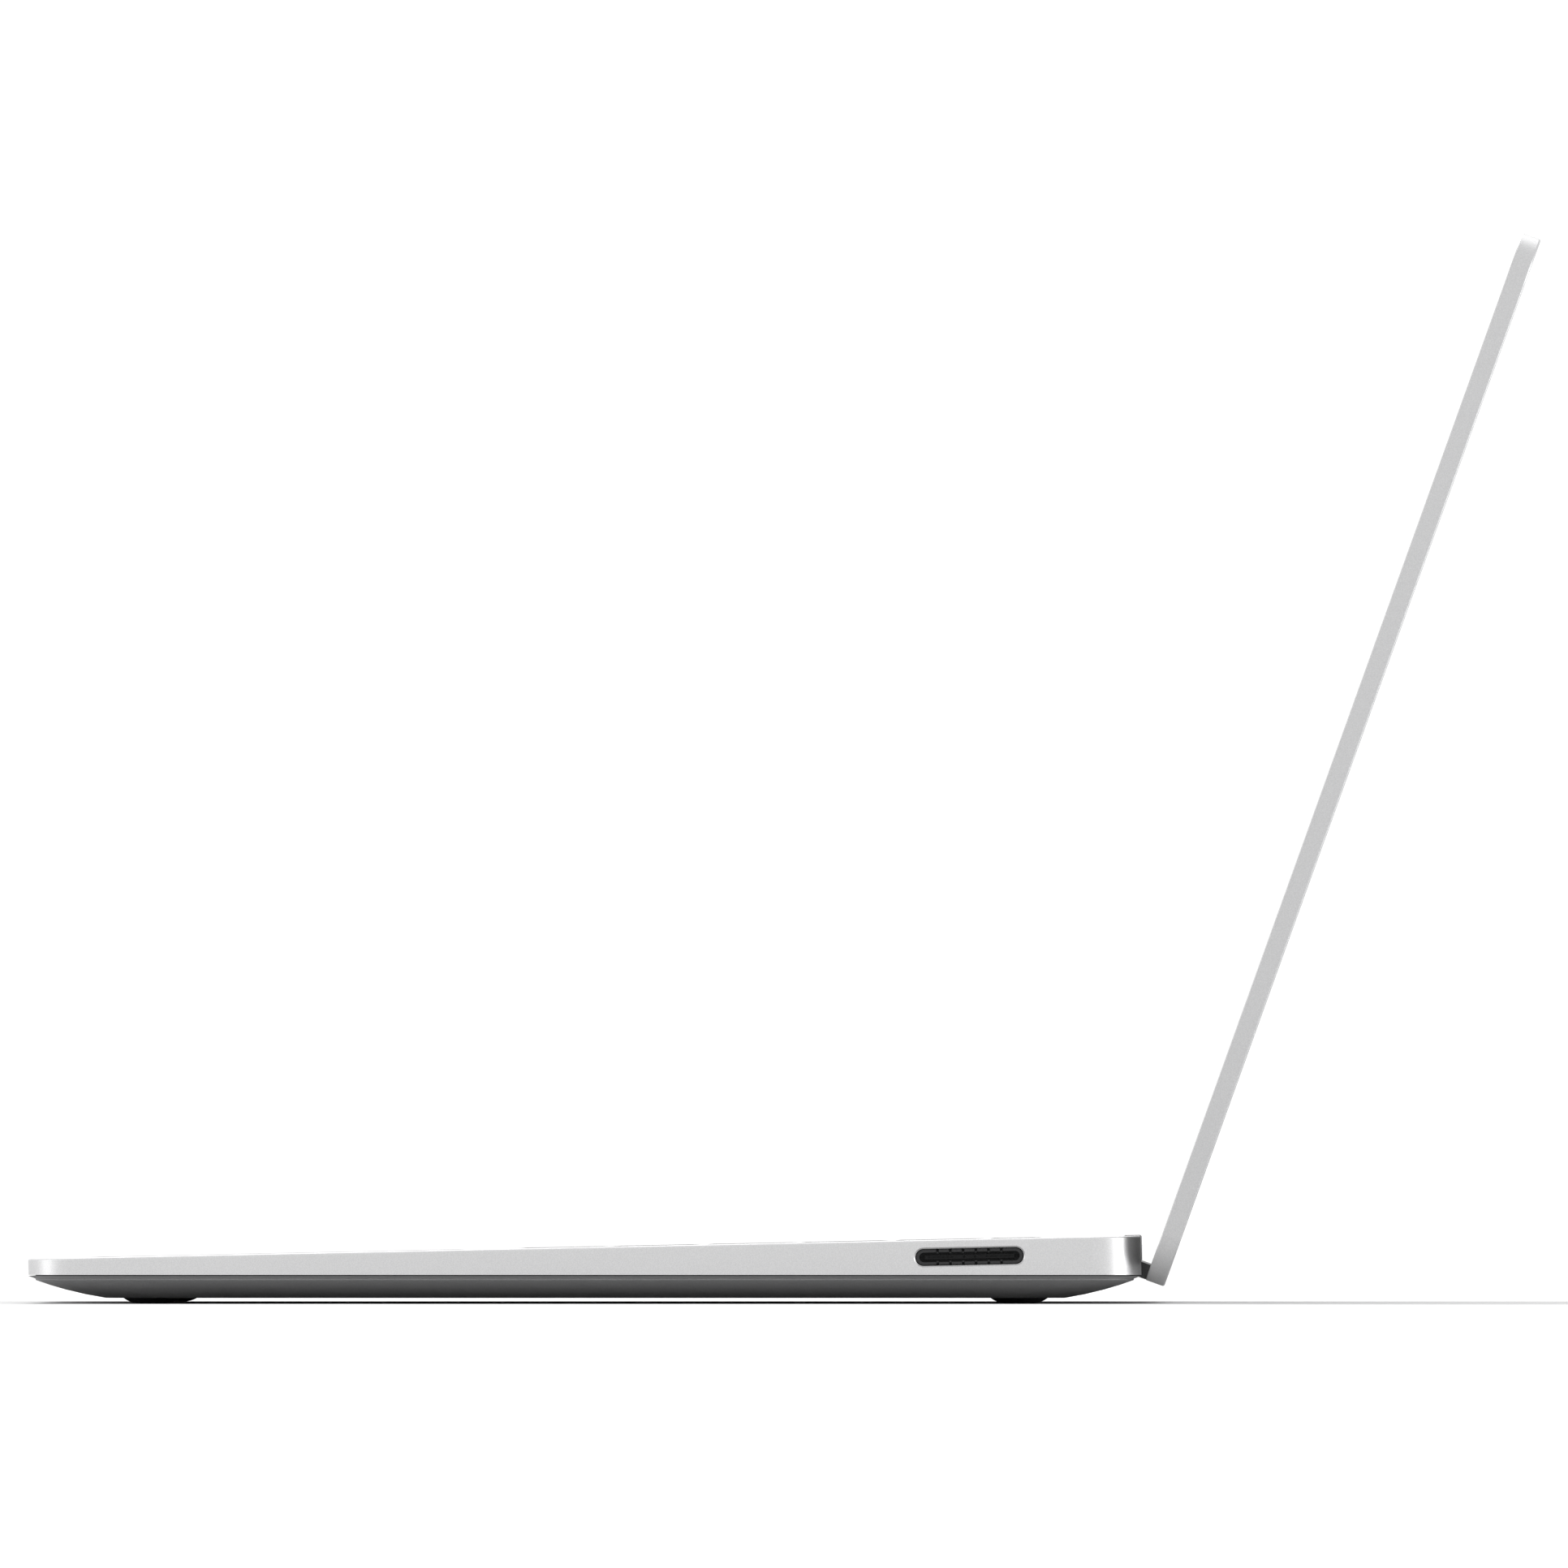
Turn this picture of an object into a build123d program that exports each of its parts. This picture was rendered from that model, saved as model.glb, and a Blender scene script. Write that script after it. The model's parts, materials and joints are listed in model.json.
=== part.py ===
from build123d import *

import math
import os

# A 12-inch class laptop computer, standing open on a table.
#
# X runs across the keyboard, Y from the front edge to the back, and Z up. Everything is drawn with the
# base's front edge at Y = 0 and the table at Z = 0, then moved forward by ORIGIN_Y, so that the origin is
# in the middle of the floor area that the open laptop covers. Three working frames are used:
#
#   base   as drawn: the underside, the electronics and the hinge brackets
#   deck   the sloping upper face: y = 0 along its rear edge, z = 0 on its surface, z down into the case
#   lid    the open display: the pivot is its origin, y runs up the display, z points towards the user

# ---- Driving dimensions, in millimetres and degrees ----
WIDTH = 278.0
DEPTH = 205.7
CORNER = 9.0  # radius of the case's four corners, seen from above
WALL = 1.2
DECK_FRONT = 8.3  # height of the deck's front edge above the table
DECK_REAR = 12.6
SEAM = 5.35  # where the aluminium case ends and the moulded underside begins
SEAM_GAP = 0.2
FOOT_HEIGHT = 1.05
EDGE = 0.4  # rounding along the rim of the deck
LID_THICKNESS = 3.67
LID_EDGE = 0.4
CLOSED_GAP = 0.7  # between the closed lid and the deck
OPENING = 111.0  # angle between the screen and the deck as drawn
PIVOT_SETBACK = 2.69  # pivot ahead of the deck's rear edge, along the deck
PIVOT_DROP = 4.0  # pivot below the deck

# Underside: a short chamfer below the seam, a fine upright edge, then a long arc to the flat bottom
CHAMFER_IN = 1.35
CHAMFER_DOWN = 0.5
CREASE = 0.25
HULL_RADIUS = 63.0
HULL_STEEP = 20.7
HULL_SHALLOW = 8.7
HULL_STEPS = 5
HULL_CORNER = 12.0

# Finger scoop in the front edge, for lifting the lid
SCOOP_X = (-34.0, 34.0)
SCOOP_RADIUS = 9.0
SCOOP_DEPTH = 1.25

# Keyboard
PITCH = 17.6
KEY_GAP = 2.2
KEY_CORNER = 1.3
KEY_CLEARANCE = 0.3
KEY_HEIGHT = 1.7
KEY_TOP = 0.9  # thickness of a cap's top
KEY_SUNK = 0.05
ROW_UNITS = 14.5
FUNCTION_DEPTH = 8.6
KEYBOARD_REAR = 19.1  # from the deck's rear edge to the first row of keys
PLATE_LEVEL = 3.2  # top of the switch sheet, below the deck

# Trackpad
PAD_WIDTH = 105.0
PAD_DEPTH = 70.0
PAD_FRONT = 10.0
PAD_GAP = 0.3
PAD_THICK = 0.9
PAD_CORNER = 3.0

# Hinge
BAR_HALF = 117.0
CHANNEL_HALF = 125.0
BARREL = 2.4
SHAFT = 1.5
SHAFT_CLEARANCE = 0.03
BAR_TOP = 0.2  # the bar's upper face above the pivot, up the display
KNUCKLE = (117.6, 124.6)
LEAF = (97.0, 115.0)
CHANNEL_FRONT = 199.7
CHANNEL_REAR = 202.6

# Sockets: distance of each centre from the front edge, and its height above the table
CHARGE = (174.1, 8.74)
CHARGE_SIZE = (20.1, 3.15)
CHARGE_BEVEL = 0.25  # of the case's metal round the socket
USB_A = (175.0, 8.1)
USB_C = (157.5, 8.1)
AUDIO = (143.0, 7.75)
USB_A_SIZE = (13.1, 5.1)
AUDIO_BORE = 1.8
AUDIO_LENGTH = 10.6

# Display
BEZEL_SIDE = 8.0
BEZEL_TOP = 11.0
BEZEL_BOTTOM = 20.0
RIM = 0.9  # width of the metal rim round the glass
GASKET = 0.8

# ---- Worked out from them ----
SLOPE = math.degrees(math.atan2(DECK_REAR - DECK_FRONT, DEPTH))
SIN, COS = math.sin(math.radians(SLOPE)), math.cos(math.radians(SLOPE))
DECK_LENGTH = DEPTH / COS
LEAN = OPENING - 90 - SLOPE  # of the display, back from upright
LEAN_SIN, LEAN_COS = math.sin(math.radians(LEAN)), math.cos(math.radians(LEAN))
PIVOT_Y = DEPTH - PIVOT_SETBACK * COS + PIVOT_DROP * SIN
PIVOT_Z = DECK_REAR - PIVOT_SETBACK * SIN - PIVOT_DROP * COS
FACE = PIVOT_DROP + CLOSED_GAP  # from the pivot to the lid's screen side
LID_BACK = FACE + LID_THICKNESS
LID_END = -PIVOT_SETBACK
LID_TOP = DECK_LENGTH - PIVOT_SETBACK
LID_REACH = PIVOT_Y + (LID_BACK - LID_EDGE) * LEAN_COS + (LID_TOP - LID_EDGE) * LEAN_SIN + LID_EDGE
ORIGIN_Y = (LID_REACH + EDGE * SIN) / 2
HALF = WIDTH / 2
KEYS_HALF = (ROW_UNITS * PITCH - KEY_GAP) / 2

DECK = Plane(origin=(0, DEPTH, DECK_REAR), x_dir=(1, 0, 0), z_dir=(0, -SIN, COS)).location
LID = Plane(origin=(0, PIVOT_Y, PIVOT_Z), x_dir=(1, 0, 0), z_dir=(0, -LEAN_COS, LEAN_SIN)).location
HOME = Location((0, -ORIGIN_Y, 0))
SIDES = {"left": -1, "right": 1}


# ---- Shared shapes ----
def block(x, y, z):
    """A box between two limits along each axis."""
    size = [abs(high - low) for low, high in (x, y, z)]
    middle = [(high + low) / 2 for low, high in (x, y, z)]
    return Pos(*middle) * Box(*size)


def slab(width, depth, radius, z):
    """A plate with rounded corners between two heights, centred on the Z axis."""
    low, high = sorted(z)
    return Pos(0, 0, low) * extrude(RectangleRounded(width, depth, radius), high - low)


def post(x, y, z, radius):
    """An upright cylinder between two heights."""
    low, high = sorted(z)
    return Pos(x, y, (low + high) / 2) * Cylinder(radius, high - low)


def rod(x, y, z, radius):
    """A cylinder lying along X between two limits."""
    low, high = sorted(x)
    return Pos((low + high) / 2, y, z) * Rot(0, 90, 0) * Cylinder(radius, high - low)


def spread(side, limits):
    """Limits given outwards from the middle, as X limits on one side of the laptop."""
    return tuple(sorted(side * limit for limit in limits))


def stadium_plug(y, z, size, x):
    """A bar with round ends, of the given length along Y and height, between two X limits."""
    outline = Plane.YZ * SlotOverall(size[0], size[1])
    low, high = sorted(x)
    return Pos(low, y, z) * Rot(SLOPE, 0, 0) * extrude(outline, high - low)


def tilted_box(x, centre, size):
    """A box between two X limits, of the given length along Y and height, parallel to the deck."""
    low, high = sorted(x)
    return Pos((low + high) / 2, *centre) * Rot(SLOPE, 0, 0) * Box(high - low, *size)


def deck_height(y):
    return DECK_FRONT + (DECK_REAR - DECK_FRONT) * y / DEPTH


# ---- Keyboard layout: every key as (centre x, centre y on the deck, width, depth) ----
def row_of_keys(widths, rear, depth=PITCH - KEY_GAP):
    """Keys of these widths, in key units, side by side from the left edge."""
    keys, left = [], -ROW_UNITS * PITCH / 2
    for units in widths:
        width = units * PITCH
        keys.append((left + width / 2, rear - depth / 2, width - KEY_GAP, depth))
        left += width
    return keys


def keyboard():
    """The keys of each node, by the node's name."""
    rears = [-KEYBOARD_REAR]
    rears.append(rears[0] - FUNCTION_DEPTH - KEY_GAP)
    for _ in range(4):
        rears.append(rears[-1] - PITCH)
    function = row_of_keys([ROW_UNITS / 15] * 15, rears[0], FUNCTION_DEPTH)
    number = row_of_keys([1] * 13 + [1.5], rears[1])
    upper = row_of_keys([1.5] + [1] * 13, rears[2])
    home = row_of_keys([1.75] + [1] * 11 + [1.75], rears[3])
    lower = row_of_keys([2.25] + [1] * 10 + [2.25], rears[4])
    bottom = row_of_keys([1] * 4 + [5.5] + [1] * 5, rears[5])
    x, y, width, depth = bottom[8]
    half = (depth - 0.8) / 2
    up = (x, y + (half + 0.8) / 2, width, half)
    down = (x, y - (half + 0.8) / 2, width, half)
    return {
        "keys_function_row": function[:13] + function[14:],
        "power_key": [function[13]],
        "keys_number_row": number[:13],
        "backspace_key": [number[13]],
        "tab_key": [upper[0]],
        "keys_upper_row": upper[1:],
        "caps_lock_key": [home[0]],
        "keys_home_row": home[1:12],
        "enter_key": [home[12]],
        "left_shift_key": [lower[0]],
        "keys_lower_row": lower[1:11],
        "right_shift_key": [lower[11]],
        "keys_modifier": bottom[:4] + bottom[5:7],
        "space_bar": [bottom[4]],
        "keys_arrow": [bottom[7], up, down, bottom[9]],
    }


def keycap(key):
    """A shallow cap, open underneath, with a rounded rim."""
    x, y, width, depth = key
    cap = slab(width, depth, KEY_CORNER, (-KEY_SUNK - KEY_HEIGHT, -KEY_SUNK))
    cap = fillet(cap.edges().group_by(Axis.Z)[-1], 0.25)
    skirt = 0.9
    hollow = slab(width - 2 * skirt, depth - 2 * skirt, 0.6, (-KEY_SUNK - KEY_HEIGHT, -KEY_SUNK - KEY_TOP))
    return Pos(x, y, 0) * (cap - hollow)


def key_well(key):
    """The hole in the deck that a key moves in."""
    x, y, width, depth = key
    grow = 2 * KEY_CLEARANCE
    return Pos(x, y) * RectangleRounded(width + grow, depth + grow, KEY_CORNER + KEY_CLEARANCE)


# ---- Places that several parts share ----
FRONT_FEET = [(x, 22.65) for x in (-113.0, 113.0)]
REAR_FEET = [(x, 183.2) for x in (-113.0, 113.0)]
FEET = FRONT_FEET + REAR_FEET
KEYBOARD_TABS = [(x, y) for x in (-130.2, 130.2) for y in (-112.0, -88.5, -19.4)]
BRACKET_SCREWS = (101.5, 112.5, 131.0)
BRACKET_Y = (189.4, 197.6)
BRACKET_LEVEL = (PIVOT_Z - 0.75, PIVOT_Z + 0.75)
PAD_POSTS = [(x, y) for x in (-56.5, 56.5) for y in (-190.0, -160.0, -131.0)]
BOARD_POSTS = [(-112.0, 150.0), (-60.0, 131.0), (-20.0, 188.0), (28.0, 131.0)]
BOARD_LEVEL = (4.7, 5.5)
FAN = (66.0, 158.0)
FAN_LEVEL = (2.6, 6.9)
FAN_MOUTH = 186.1
FINS_X = (42.0, 90.0)
FINS_Y = (186.4, 196.0)
PIPE_REAR = 189.5


# ---- Case ----
def hull(inset, lift):
    """The underside's form up to the seam, taken in by inset on all sides and lifted."""
    steep, shallow = math.radians(HULL_STEEP), math.radians(HULL_SHALLOW)
    level = SEAM - SEAM_GAP
    profile = []
    for step in range(HULL_STEPS):
        angle = steep + (shallow - steep) * step / (HULL_STEPS - 1)
        into = CHAMFER_IN + HULL_RADIUS * (math.sin(steep) - math.sin(angle))
        down = level - CHAMFER_DOWN - CREASE - HULL_RADIUS * (math.cos(angle) - math.cos(steep))
        corner = CORNER + (HULL_CORNER - CORNER) * step / (HULL_STEPS - 1)
        profile.append((into, down, corner))
    middle = (DEPTH + (DECK_FRONT + DECK_REAR - 2 * level) * SIN / 2) / 2
    length = DEPTH + (DECK_REAR - DECK_FRONT) * SIN

    def outline(into, height, corner):
        size = WIDTH - 2 * (into + inset), length - 2 * (into + inset)
        return Pos(0, middle, height + lift) * RectangleRounded(*size, corner)

    dish = loft([outline(*section) for section in reversed(profile)])
    crease = extrude(outline(*profile[0]), CREASE)
    rim = loft([outline(CHAMFER_IN, level - CHAMFER_DOWN, CORNER), outline(0, level, CORNER)], ruled=True)
    return dish + crease + rim


def charge_mouth():
    """The opening for the charging socket, with a bevel all round."""
    rings = []
    for step in (-1, 1):
        size = [length + 2 * CHARGE_BEVEL * (step + 1) for length in CHARGE_SIZE]
        place = Pos(HALF + step * CHARGE_BEVEL, *CHARGE) * Rot(SLOPE, 0, 0)
        rings.append(place * (Plane.YZ * SlotOverall(*size)))
    return stadium_plug(*CHARGE, CHARGE_SIZE, (HALF - 3, HALF + 1)) + loft(rings, ruled=True)


def socket_cuts():
    """What the side sockets take out of the case's walls."""
    usb_a = tilted_box((-HALF - 1, -HALF + 3), USB_A, (USB_A_SIZE[0] + 0.2, USB_A_SIZE[1] + 0.2))
    usb_c = stadium_plug(*USB_C, (9.0, 3.25), (-HALF - 1, -HALF + 3))
    audio = rod((-HALF - 1, -HALF + 3), *AUDIO, AUDIO_BORE + 0.3)
    return [charge_mouth(), usb_a, usb_c, audio]


def hinge_channel():
    """The open channel along the rear of the case that the hinge bar swings in."""
    across = (-CHANNEL_HALF, CHANNEL_HALF)
    above = block(across, (CHANNEL_REAR, DEPTH + 5), (0, DECK_REAR + 5))
    bore = rod(across, PIVOT_Y, PIVOT_Z, 2.95)
    inner = block(across, (CHANNEL_FRONT, DEPTH + 5), (4.95, deck_height(CHANNEL_FRONT) - WALL))
    return above + bore + inner


def top_case():
    """The aluminium case: deck and side walls in one piece, open underneath."""
    form = slab(WIDTH, DECK_LENGTH, CORNER, (-9, 0))
    form = fillet(form.edges().group_by(Axis.Z)[-1], EDGE)
    inside = slab(WIDTH - 2 * WALL, DECK_LENGTH - 2 * WALL, CORNER - WALL, (-9, -WALL))
    wells = Sketch() + [key_well(key) for keys in keyboard().values() for key in keys]
    wells = extrude(wells, -3)
    pad = Pos(0, PAD_FRONT + PAD_DEPTH / 2 - DECK_LENGTH, 0) * slab(
        PAD_WIDTH + 2 * PAD_GAP, PAD_DEPTH + 2 * PAD_GAP, PAD_CORNER + PAD_GAP, (-3, 1)
    )
    shell = Pos(0, -DECK_LENGTH / 2, 0) * (form - inside) - (Pos(0, 0, 0.5) * wells) - pad
    for x, y in KEYBOARD_TABS:
        shell += post(x, y, (-PLATE_LEVEL, -WALL + 0.01), 1.9)
    for x, y in PAD_POSTS:
        shell += post(x, y, (-2.7, -WALL + 0.01), 1.9) - post(x, y, (-3, -WALL), 0.8)
    case = DECK * shell
    case -= block((-HALF - 1, HALF + 1), (-5, DEPTH + 5), (-5, SEAM))

    wall = (CHANNEL_FRONT - WALL, CHANNEL_FRONT)
    through = (CHANNEL_FRONT - 2, CHANNEL_FRONT + 1)
    gutter = block((-CHANNEL_HALF - WALL, CHANNEL_HALF + WALL), wall, (4.8, 11.6))
    for side in SIDES.values():
        ends = spread(side, (CHANNEL_HALF, CHANNEL_HALF + WALL))
        gutter += block(ends, (CHANNEL_FRONT - WALL, DEPTH - 0.5), (5.4, 11.6))
    case += gutter
    case -= hinge_channel()
    for side in SIDES.values():
        tongue = spread(side, (KNUCKLE[0] - 0.3, KNUCKLE[1] + 0.3))
        case -= block(tongue, through, (BRACKET_LEVEL[0] - 0.2, BRACKET_LEVEL[1] + 0.2))
    slots = 16
    pitch = (FINS_X[1] - FINS_X[0]) / slots
    for index in range(slots):
        x = FINS_X[0] + pitch * (index + 0.5)
        case -= block((x - 1.0, x + 1.0), through, (5.2, 7.4))

    for x, y in FRONT_FEET:
        case += post(x, y, (4.0, deck_height(y) - WALL), 2.4) - post(x, y, (3, deck_height(y) - WALL), 1.02)
    for side in SIDES.values():
        for x in BRACKET_SCREWS:
            y = sum(BRACKET_Y) / 2
            boss = post(side * x, y, (BRACKET_LEVEL[1], deck_height(y) - WALL), 2.1)
            case += boss - post(side * x, y, (8, deck_height(y) - WALL), 1.02)
    for cut in socket_cuts():
        case -= cut
    return case - rod(SCOOP_X, SCOOP_DEPTH - SCOOP_RADIUS, DECK_FRONT + 1.2, SCOOP_RADIUS)


def bottom_cover():
    """The moulded underside: a thin shell with a lip that locates inside the case's walls."""
    level = SEAM - SEAM_GAP
    shell = hull(0, 0) - hull(WALL, WALL)
    shell -= block((-HALF, HALF), (-1, DEPTH + 1), (level, level + 5))
    middle, length = DEPTH / 2 + 0.08, DEPTH + 0.09
    outer = RectangleRounded(WIDTH - 2 * WALL - 0.3, length - 2 * WALL - 0.3, CORNER - WALL - 0.15)
    inner = RectangleRounded(WIDTH - 2 * WALL - 2.3, length - 2 * WALL - 2.3, CORNER - WALL - 1.15)
    lip = Pos(0, middle, 4.7) * extrude(outer - inner, 1.7)
    lip -= block((-CHANNEL_HALF - 2, CHANNEL_HALF + 2), (CHANNEL_FRONT - 4, DEPTH + 1), (4.94, 9))
    lip -= block((-HALF, 0), (AUDIO[0] - 4, USB_A[0] + 8), (5.16, 9))
    shell += lip
    for x, y in FEET:
        shell += post(x, y, (FOOT_HEIGHT + 0.6, 3.8), 3.2)
        shell -= post(x, y, (0, FOOT_HEIGHT + 0.5), 5.4)
        shell -= post(x, y, (0, FOOT_HEIGHT + 1.4), 2.05)
        shell -= post(x, y, (0, 5), 1.1)
    shell -= block((-CHANNEL_HALF, CHANNEL_HALF), (CHANNEL_REAR, DEPTH + 5), (0, 9))
    return shell - rod((-CHANNEL_HALF, CHANNEL_HALF), PIVOT_Y, PIVOT_Z, 2.95)


def foot(x, y):
    """A rubber foot: a disc with a domed rim, seated in the cover."""
    flat, wide = 2.2, 5.3
    rise = (wide - flat) ** 2 / (2 * FOOT_HEIGHT) + FOOT_HEIGHT / 2
    angle = math.asin((wide - flat) / rise) / 2
    middle = (flat + rise * math.sin(angle), rise * (1 - math.cos(angle)))
    top = FOOT_HEIGHT + 0.5
    outline = Polyline((wide, FOOT_HEIGHT), (wide, top), (0, top), (0, 0), (flat, 0))
    rim = ThreePointArc((flat, 0), middle, (wide, FOOT_HEIGHT))
    disc = revolve(Plane.XZ * make_face([*outline.edges(), *rim.edges()]), Axis.Z)
    return Pos(x, y, 0) * disc


def case_screws():
    """Four machine screws that hold the cover, hidden under the feet."""
    screws = []
    for x, y in FEET:
        head = post(x, y, (FOOT_HEIGHT + 0.7, FOOT_HEIGHT + 1.38), 1.9)
        head -= post(x, y, (FOOT_HEIGHT + 0.6, FOOT_HEIGHT + 1.1), 0.7)
        screws.append(head + post(x, y, (FOOT_HEIGHT + 1.3, 7.0), 0.98))
    return Compound(screws)


# ---- Keyboard and trackpad ----
def keyboard_plate():
    """Sheet steel under the keys, with tabs to the case's posts and two standoffs for the cover."""
    level = (-PLATE_LEVEL - 0.6, -PLATE_LEVEL - 0.2)
    front = -KEYBOARD_REAR - FUNCTION_DEPTH - 5 * PITCH - 1.5
    plate = block((-KEYS_HALF - 0.2, KEYS_HALF + 0.2), (front, -KEYBOARD_REAR + 1.2), level)
    for x, y in KEYBOARD_TABS:
        side = math.copysign(1, x)
        plate += block(spread(side, (KEYS_HALF - 1, 132.0)), (y - 2.0, y + 2.0), level)
        plate -= post(x, y, (-6, 0), 0.85)
    for x in range(-110, 111, 20):
        for row in range(5):
            y = -KEYBOARD_REAR - FUNCTION_DEPTH - KEY_GAP / 2 - PITCH * row
            plate -= post(x, y, (-6, 0), 0.9)
    plate = DECK * plate
    for x, y in REAR_FEET:
        top = deck_height(y) - PLATE_LEVEL - 0.5
        plate += post(x, y, (4.0, top), 2.4)
        plate -= post(x, y, (3, top - 0.6), 1.02)
    return plate


def switch_sheet():
    """Silicone sheet with one dome under every key."""
    front = -KEYBOARD_REAR - FUNCTION_DEPTH - 5 * PITCH - 1
    level = (-PLATE_LEVEL - 0.2, -PLATE_LEVEL)
    sheet = block((-KEYS_HALF, KEYS_HALF), (front, -KEYBOARD_REAR + 0.8), level)
    domes = []
    for keys in keyboard().values():
        for x, y, width, depth in keys:
            wide = min(2.6, depth / 2 - 1.2)
            domes.append(Pos(x, y, -PLATE_LEVEL + 0.35) * Cone(wide, 1.1, 0.72))
    return DECK * (sheet + domes)


def pad_place():
    return DECK * Pos(0, PAD_FRONT + PAD_DEPTH / 2 - DECK_LENGTH, 0)


def trackpad_glass():
    plate = slab(PAD_WIDTH, PAD_DEPTH, PAD_CORNER, (-0.08 - PAD_THICK, -0.08))
    return pad_place() * chamfer(plate.edges().group_by(Axis.Z)[-1], 0.12)


def trackpad_board():
    """Circuit board glued under the glass, with its controller and the switch at the front."""
    top = -0.08 - PAD_THICK
    board = slab(PAD_WIDTH - 5, PAD_DEPTH - 5, 2.0, (top - 0.7, top))
    board += block((-6, 6), (2, 14), (top - 1.1, top - 0.7))
    board += block((20, 25), (4, 12), (top - 1.0, top - 0.7))
    return pad_place() * board


def trackpad_frame():
    """Spring-steel frame under the pad, screwed to the deck, with the hinge strip along its rear edge."""
    level = (-3.1, -2.7)
    front = PAD_FRONT + PAD_DEPTH / 2 - DECK_LENGTH
    frame = Pos(0, front, 0) * slab(118.0, 74.0, 3.0, level)
    frame -= Pos(0, front + 4, 0) * slab(70.0, 40.0, 4.0, (-4, -2))
    for x, y in PAD_POSTS:
        frame -= post(x, y, (-4, 0), 0.85)
    switch = Pos(0, front - PAD_DEPTH / 2 + 8, -2.55) * Cylinder(2.8, 0.31)
    return DECK * (frame + switch)


# ---- Electronics, all fixed in the base ----
def mainboard():
    """Main circuit board with its memory, regulators and connectors on the lower face."""
    low, high = BOARD_LEVEL
    board = block((-122, 36), (127, 178), BOARD_LEVEL) + block((-104, 36), (178, 186), BOARD_LEVEL)
    board += block((-60, 36), (186, 196), BOARD_LEVEL)
    board -= block((-23, -1), (186.5, 197), (low - 1, high + 1))
    for x, y in BOARD_POSTS:
        board -= post(x, y, (low - 1, high + 1), 1.2)
    for x in (-48, -32):
        board += block((x - 5.5, x + 5.5), (168, 182), (low - 1.0, low))
    for x in (-18, -10, -2, 6):
        board += block((x - 2.8, x + 2.8), (171, 177), (low - 1.6, low))
    for y in (132, 138, 144):
        board += block((-36, -31), (y - 1.6, y + 1.6), (low - 1.0, low))
    board += block((-100, -78), (128, 133), (low - 1.5, low))
    board += block((16, 34), (180, 185), (low - 1.2, low))
    return board


def processor():
    """Processor package with two dies, facing down on to the heat pipe."""
    low = BOARD_LEVEL[0]
    package = block((-24, 8), (146, 162), (low - 0.5, low))
    package += block((-18, -8), (149, 159), (low - 0.9, low - 0.5))
    return package + block((-5, 2), (151, 157), (low - 0.9, low - 0.5))


def storage_module():
    """Solid-state drive on a small card, screwed to the main board."""
    low = BOARD_LEVEL[0] - 1.3
    card = block((-98, -66), (136, 158), (low, low + 0.8)) - post(-67.5, 147, (0, 9), 1.6)
    for x in (-91, -79):
        card += block((x - 5, x + 5), (139, 155), (low - 1.0, low))
    return card


def wireless_module():
    low = BOARD_LEVEL[0]
    card = block((-116, -102), (160, 178), (low - 0.6, low))
    return card + block((-115, -103), (161, 173), (low - 1.9, low - 0.6))


def heat_pipe():
    """Flattened copper pipe from the processor to the fins, with its cold plate."""
    top = BOARD_LEVEL[0] - 0.9
    plate = block((-20, 6), (146.5, 161.5), (top - 0.35, top))
    level = (top - 1.25, top - 0.35)
    rear = [(37.5, PIPE_REAR - 6), (43.5, PIPE_REAR), (88, PIPE_REAR)]
    run = Polyline((-18, 154), (30, 154), (37.5, 161.5), *rear)
    run = fillet(run.vertices().filter_by(lambda v: -17 < v.X < 87), 6)
    return plate + Pos(0, 0, level[0]) * extrude(trace(run, 5.2), level[1] - level[0])


def heat_fins():
    """Stack of copper fins between the fan and the vent, resting on the heat pipe."""
    low = BOARD_LEVEL[0] - 1.25
    stack = block(FINS_X, FINS_Y, (low + 0.9, low + 1.1)) + block(FINS_X, FINS_Y, (6.7, 6.9))
    for index in range(33):
        x = FINS_X[0] + 0.15 + index * 1.49
        stack += block((x, x + 0.3), FINS_Y, (low + 1.0, 6.8))
    return stack


def fan_housing():
    """Flat case round the fan, open to the fins behind it and with a round inlet below."""
    x, y = FAN
    low, high = FAN_LEVEL
    radius = 24.5
    body = post(x, y, FAN_LEVEL, radius) + block((x - 24, x + 24), (y, FAN_MOUTH), FAN_LEVEL)
    room = post(x, y, (low + 0.5, high - 0.5), radius - 0.8)
    room += block((x - 23.2, x + 23.2), (y, FAN_MOUTH + 1), (low + 0.5, high - 0.5))
    pipe = block((31, 46), (150, FAN_MOUTH + 1), (0, 3.85))
    body -= room + post(x, y, (low - 1, low + 1), 14.0) + pipe
    return body + post(x, y, (high - 1.2, high), 4.0) + post(x, y, (low + 2.2, high - 1.0), 0.9)


def fan_rotor():
    """Hub with thin swept blades, turning on the housing's spindle."""
    low, high = FAN_LEVEL[0] + 0.8, FAN_LEVEL[1] - 1.4
    hub = post(0, 0, (low, high), 8.0) - post(0, 0, (low + 1.2, high + 1), 0.95)
    count = 23
    for index in range(count):
        arc = ThreePointArc((7.6, 0), (14.5, 3.2), (20.6, 2.6))
        blade = extrude(trace(arc, 0.5), high - low - 0.4)
        hub += Rot(0, 0, 360 * index / count) * Pos(0, 0, low + 0.2) * blade
    return Pos(*FAN, 0) * hub


def battery(side):
    """Two foil cells joined by a thin tray: one under the palm rest and one under the near rows of keys."""
    palm = Pos(side * 92.5, 56, 4.05) * fillet(Box(64, 54, 3.2).edges().filter_by(Axis.Z), 1.5)
    under = Pos(side * 63, 105, 4.05) * fillet(Box(118, 35, 3.2).edges().filter_by(Axis.Z), 1.5)
    tray = block(spread(side, (4, 122)), (82.5, 88.0), (2.45, 3.2))
    return palm + under + tray


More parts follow.
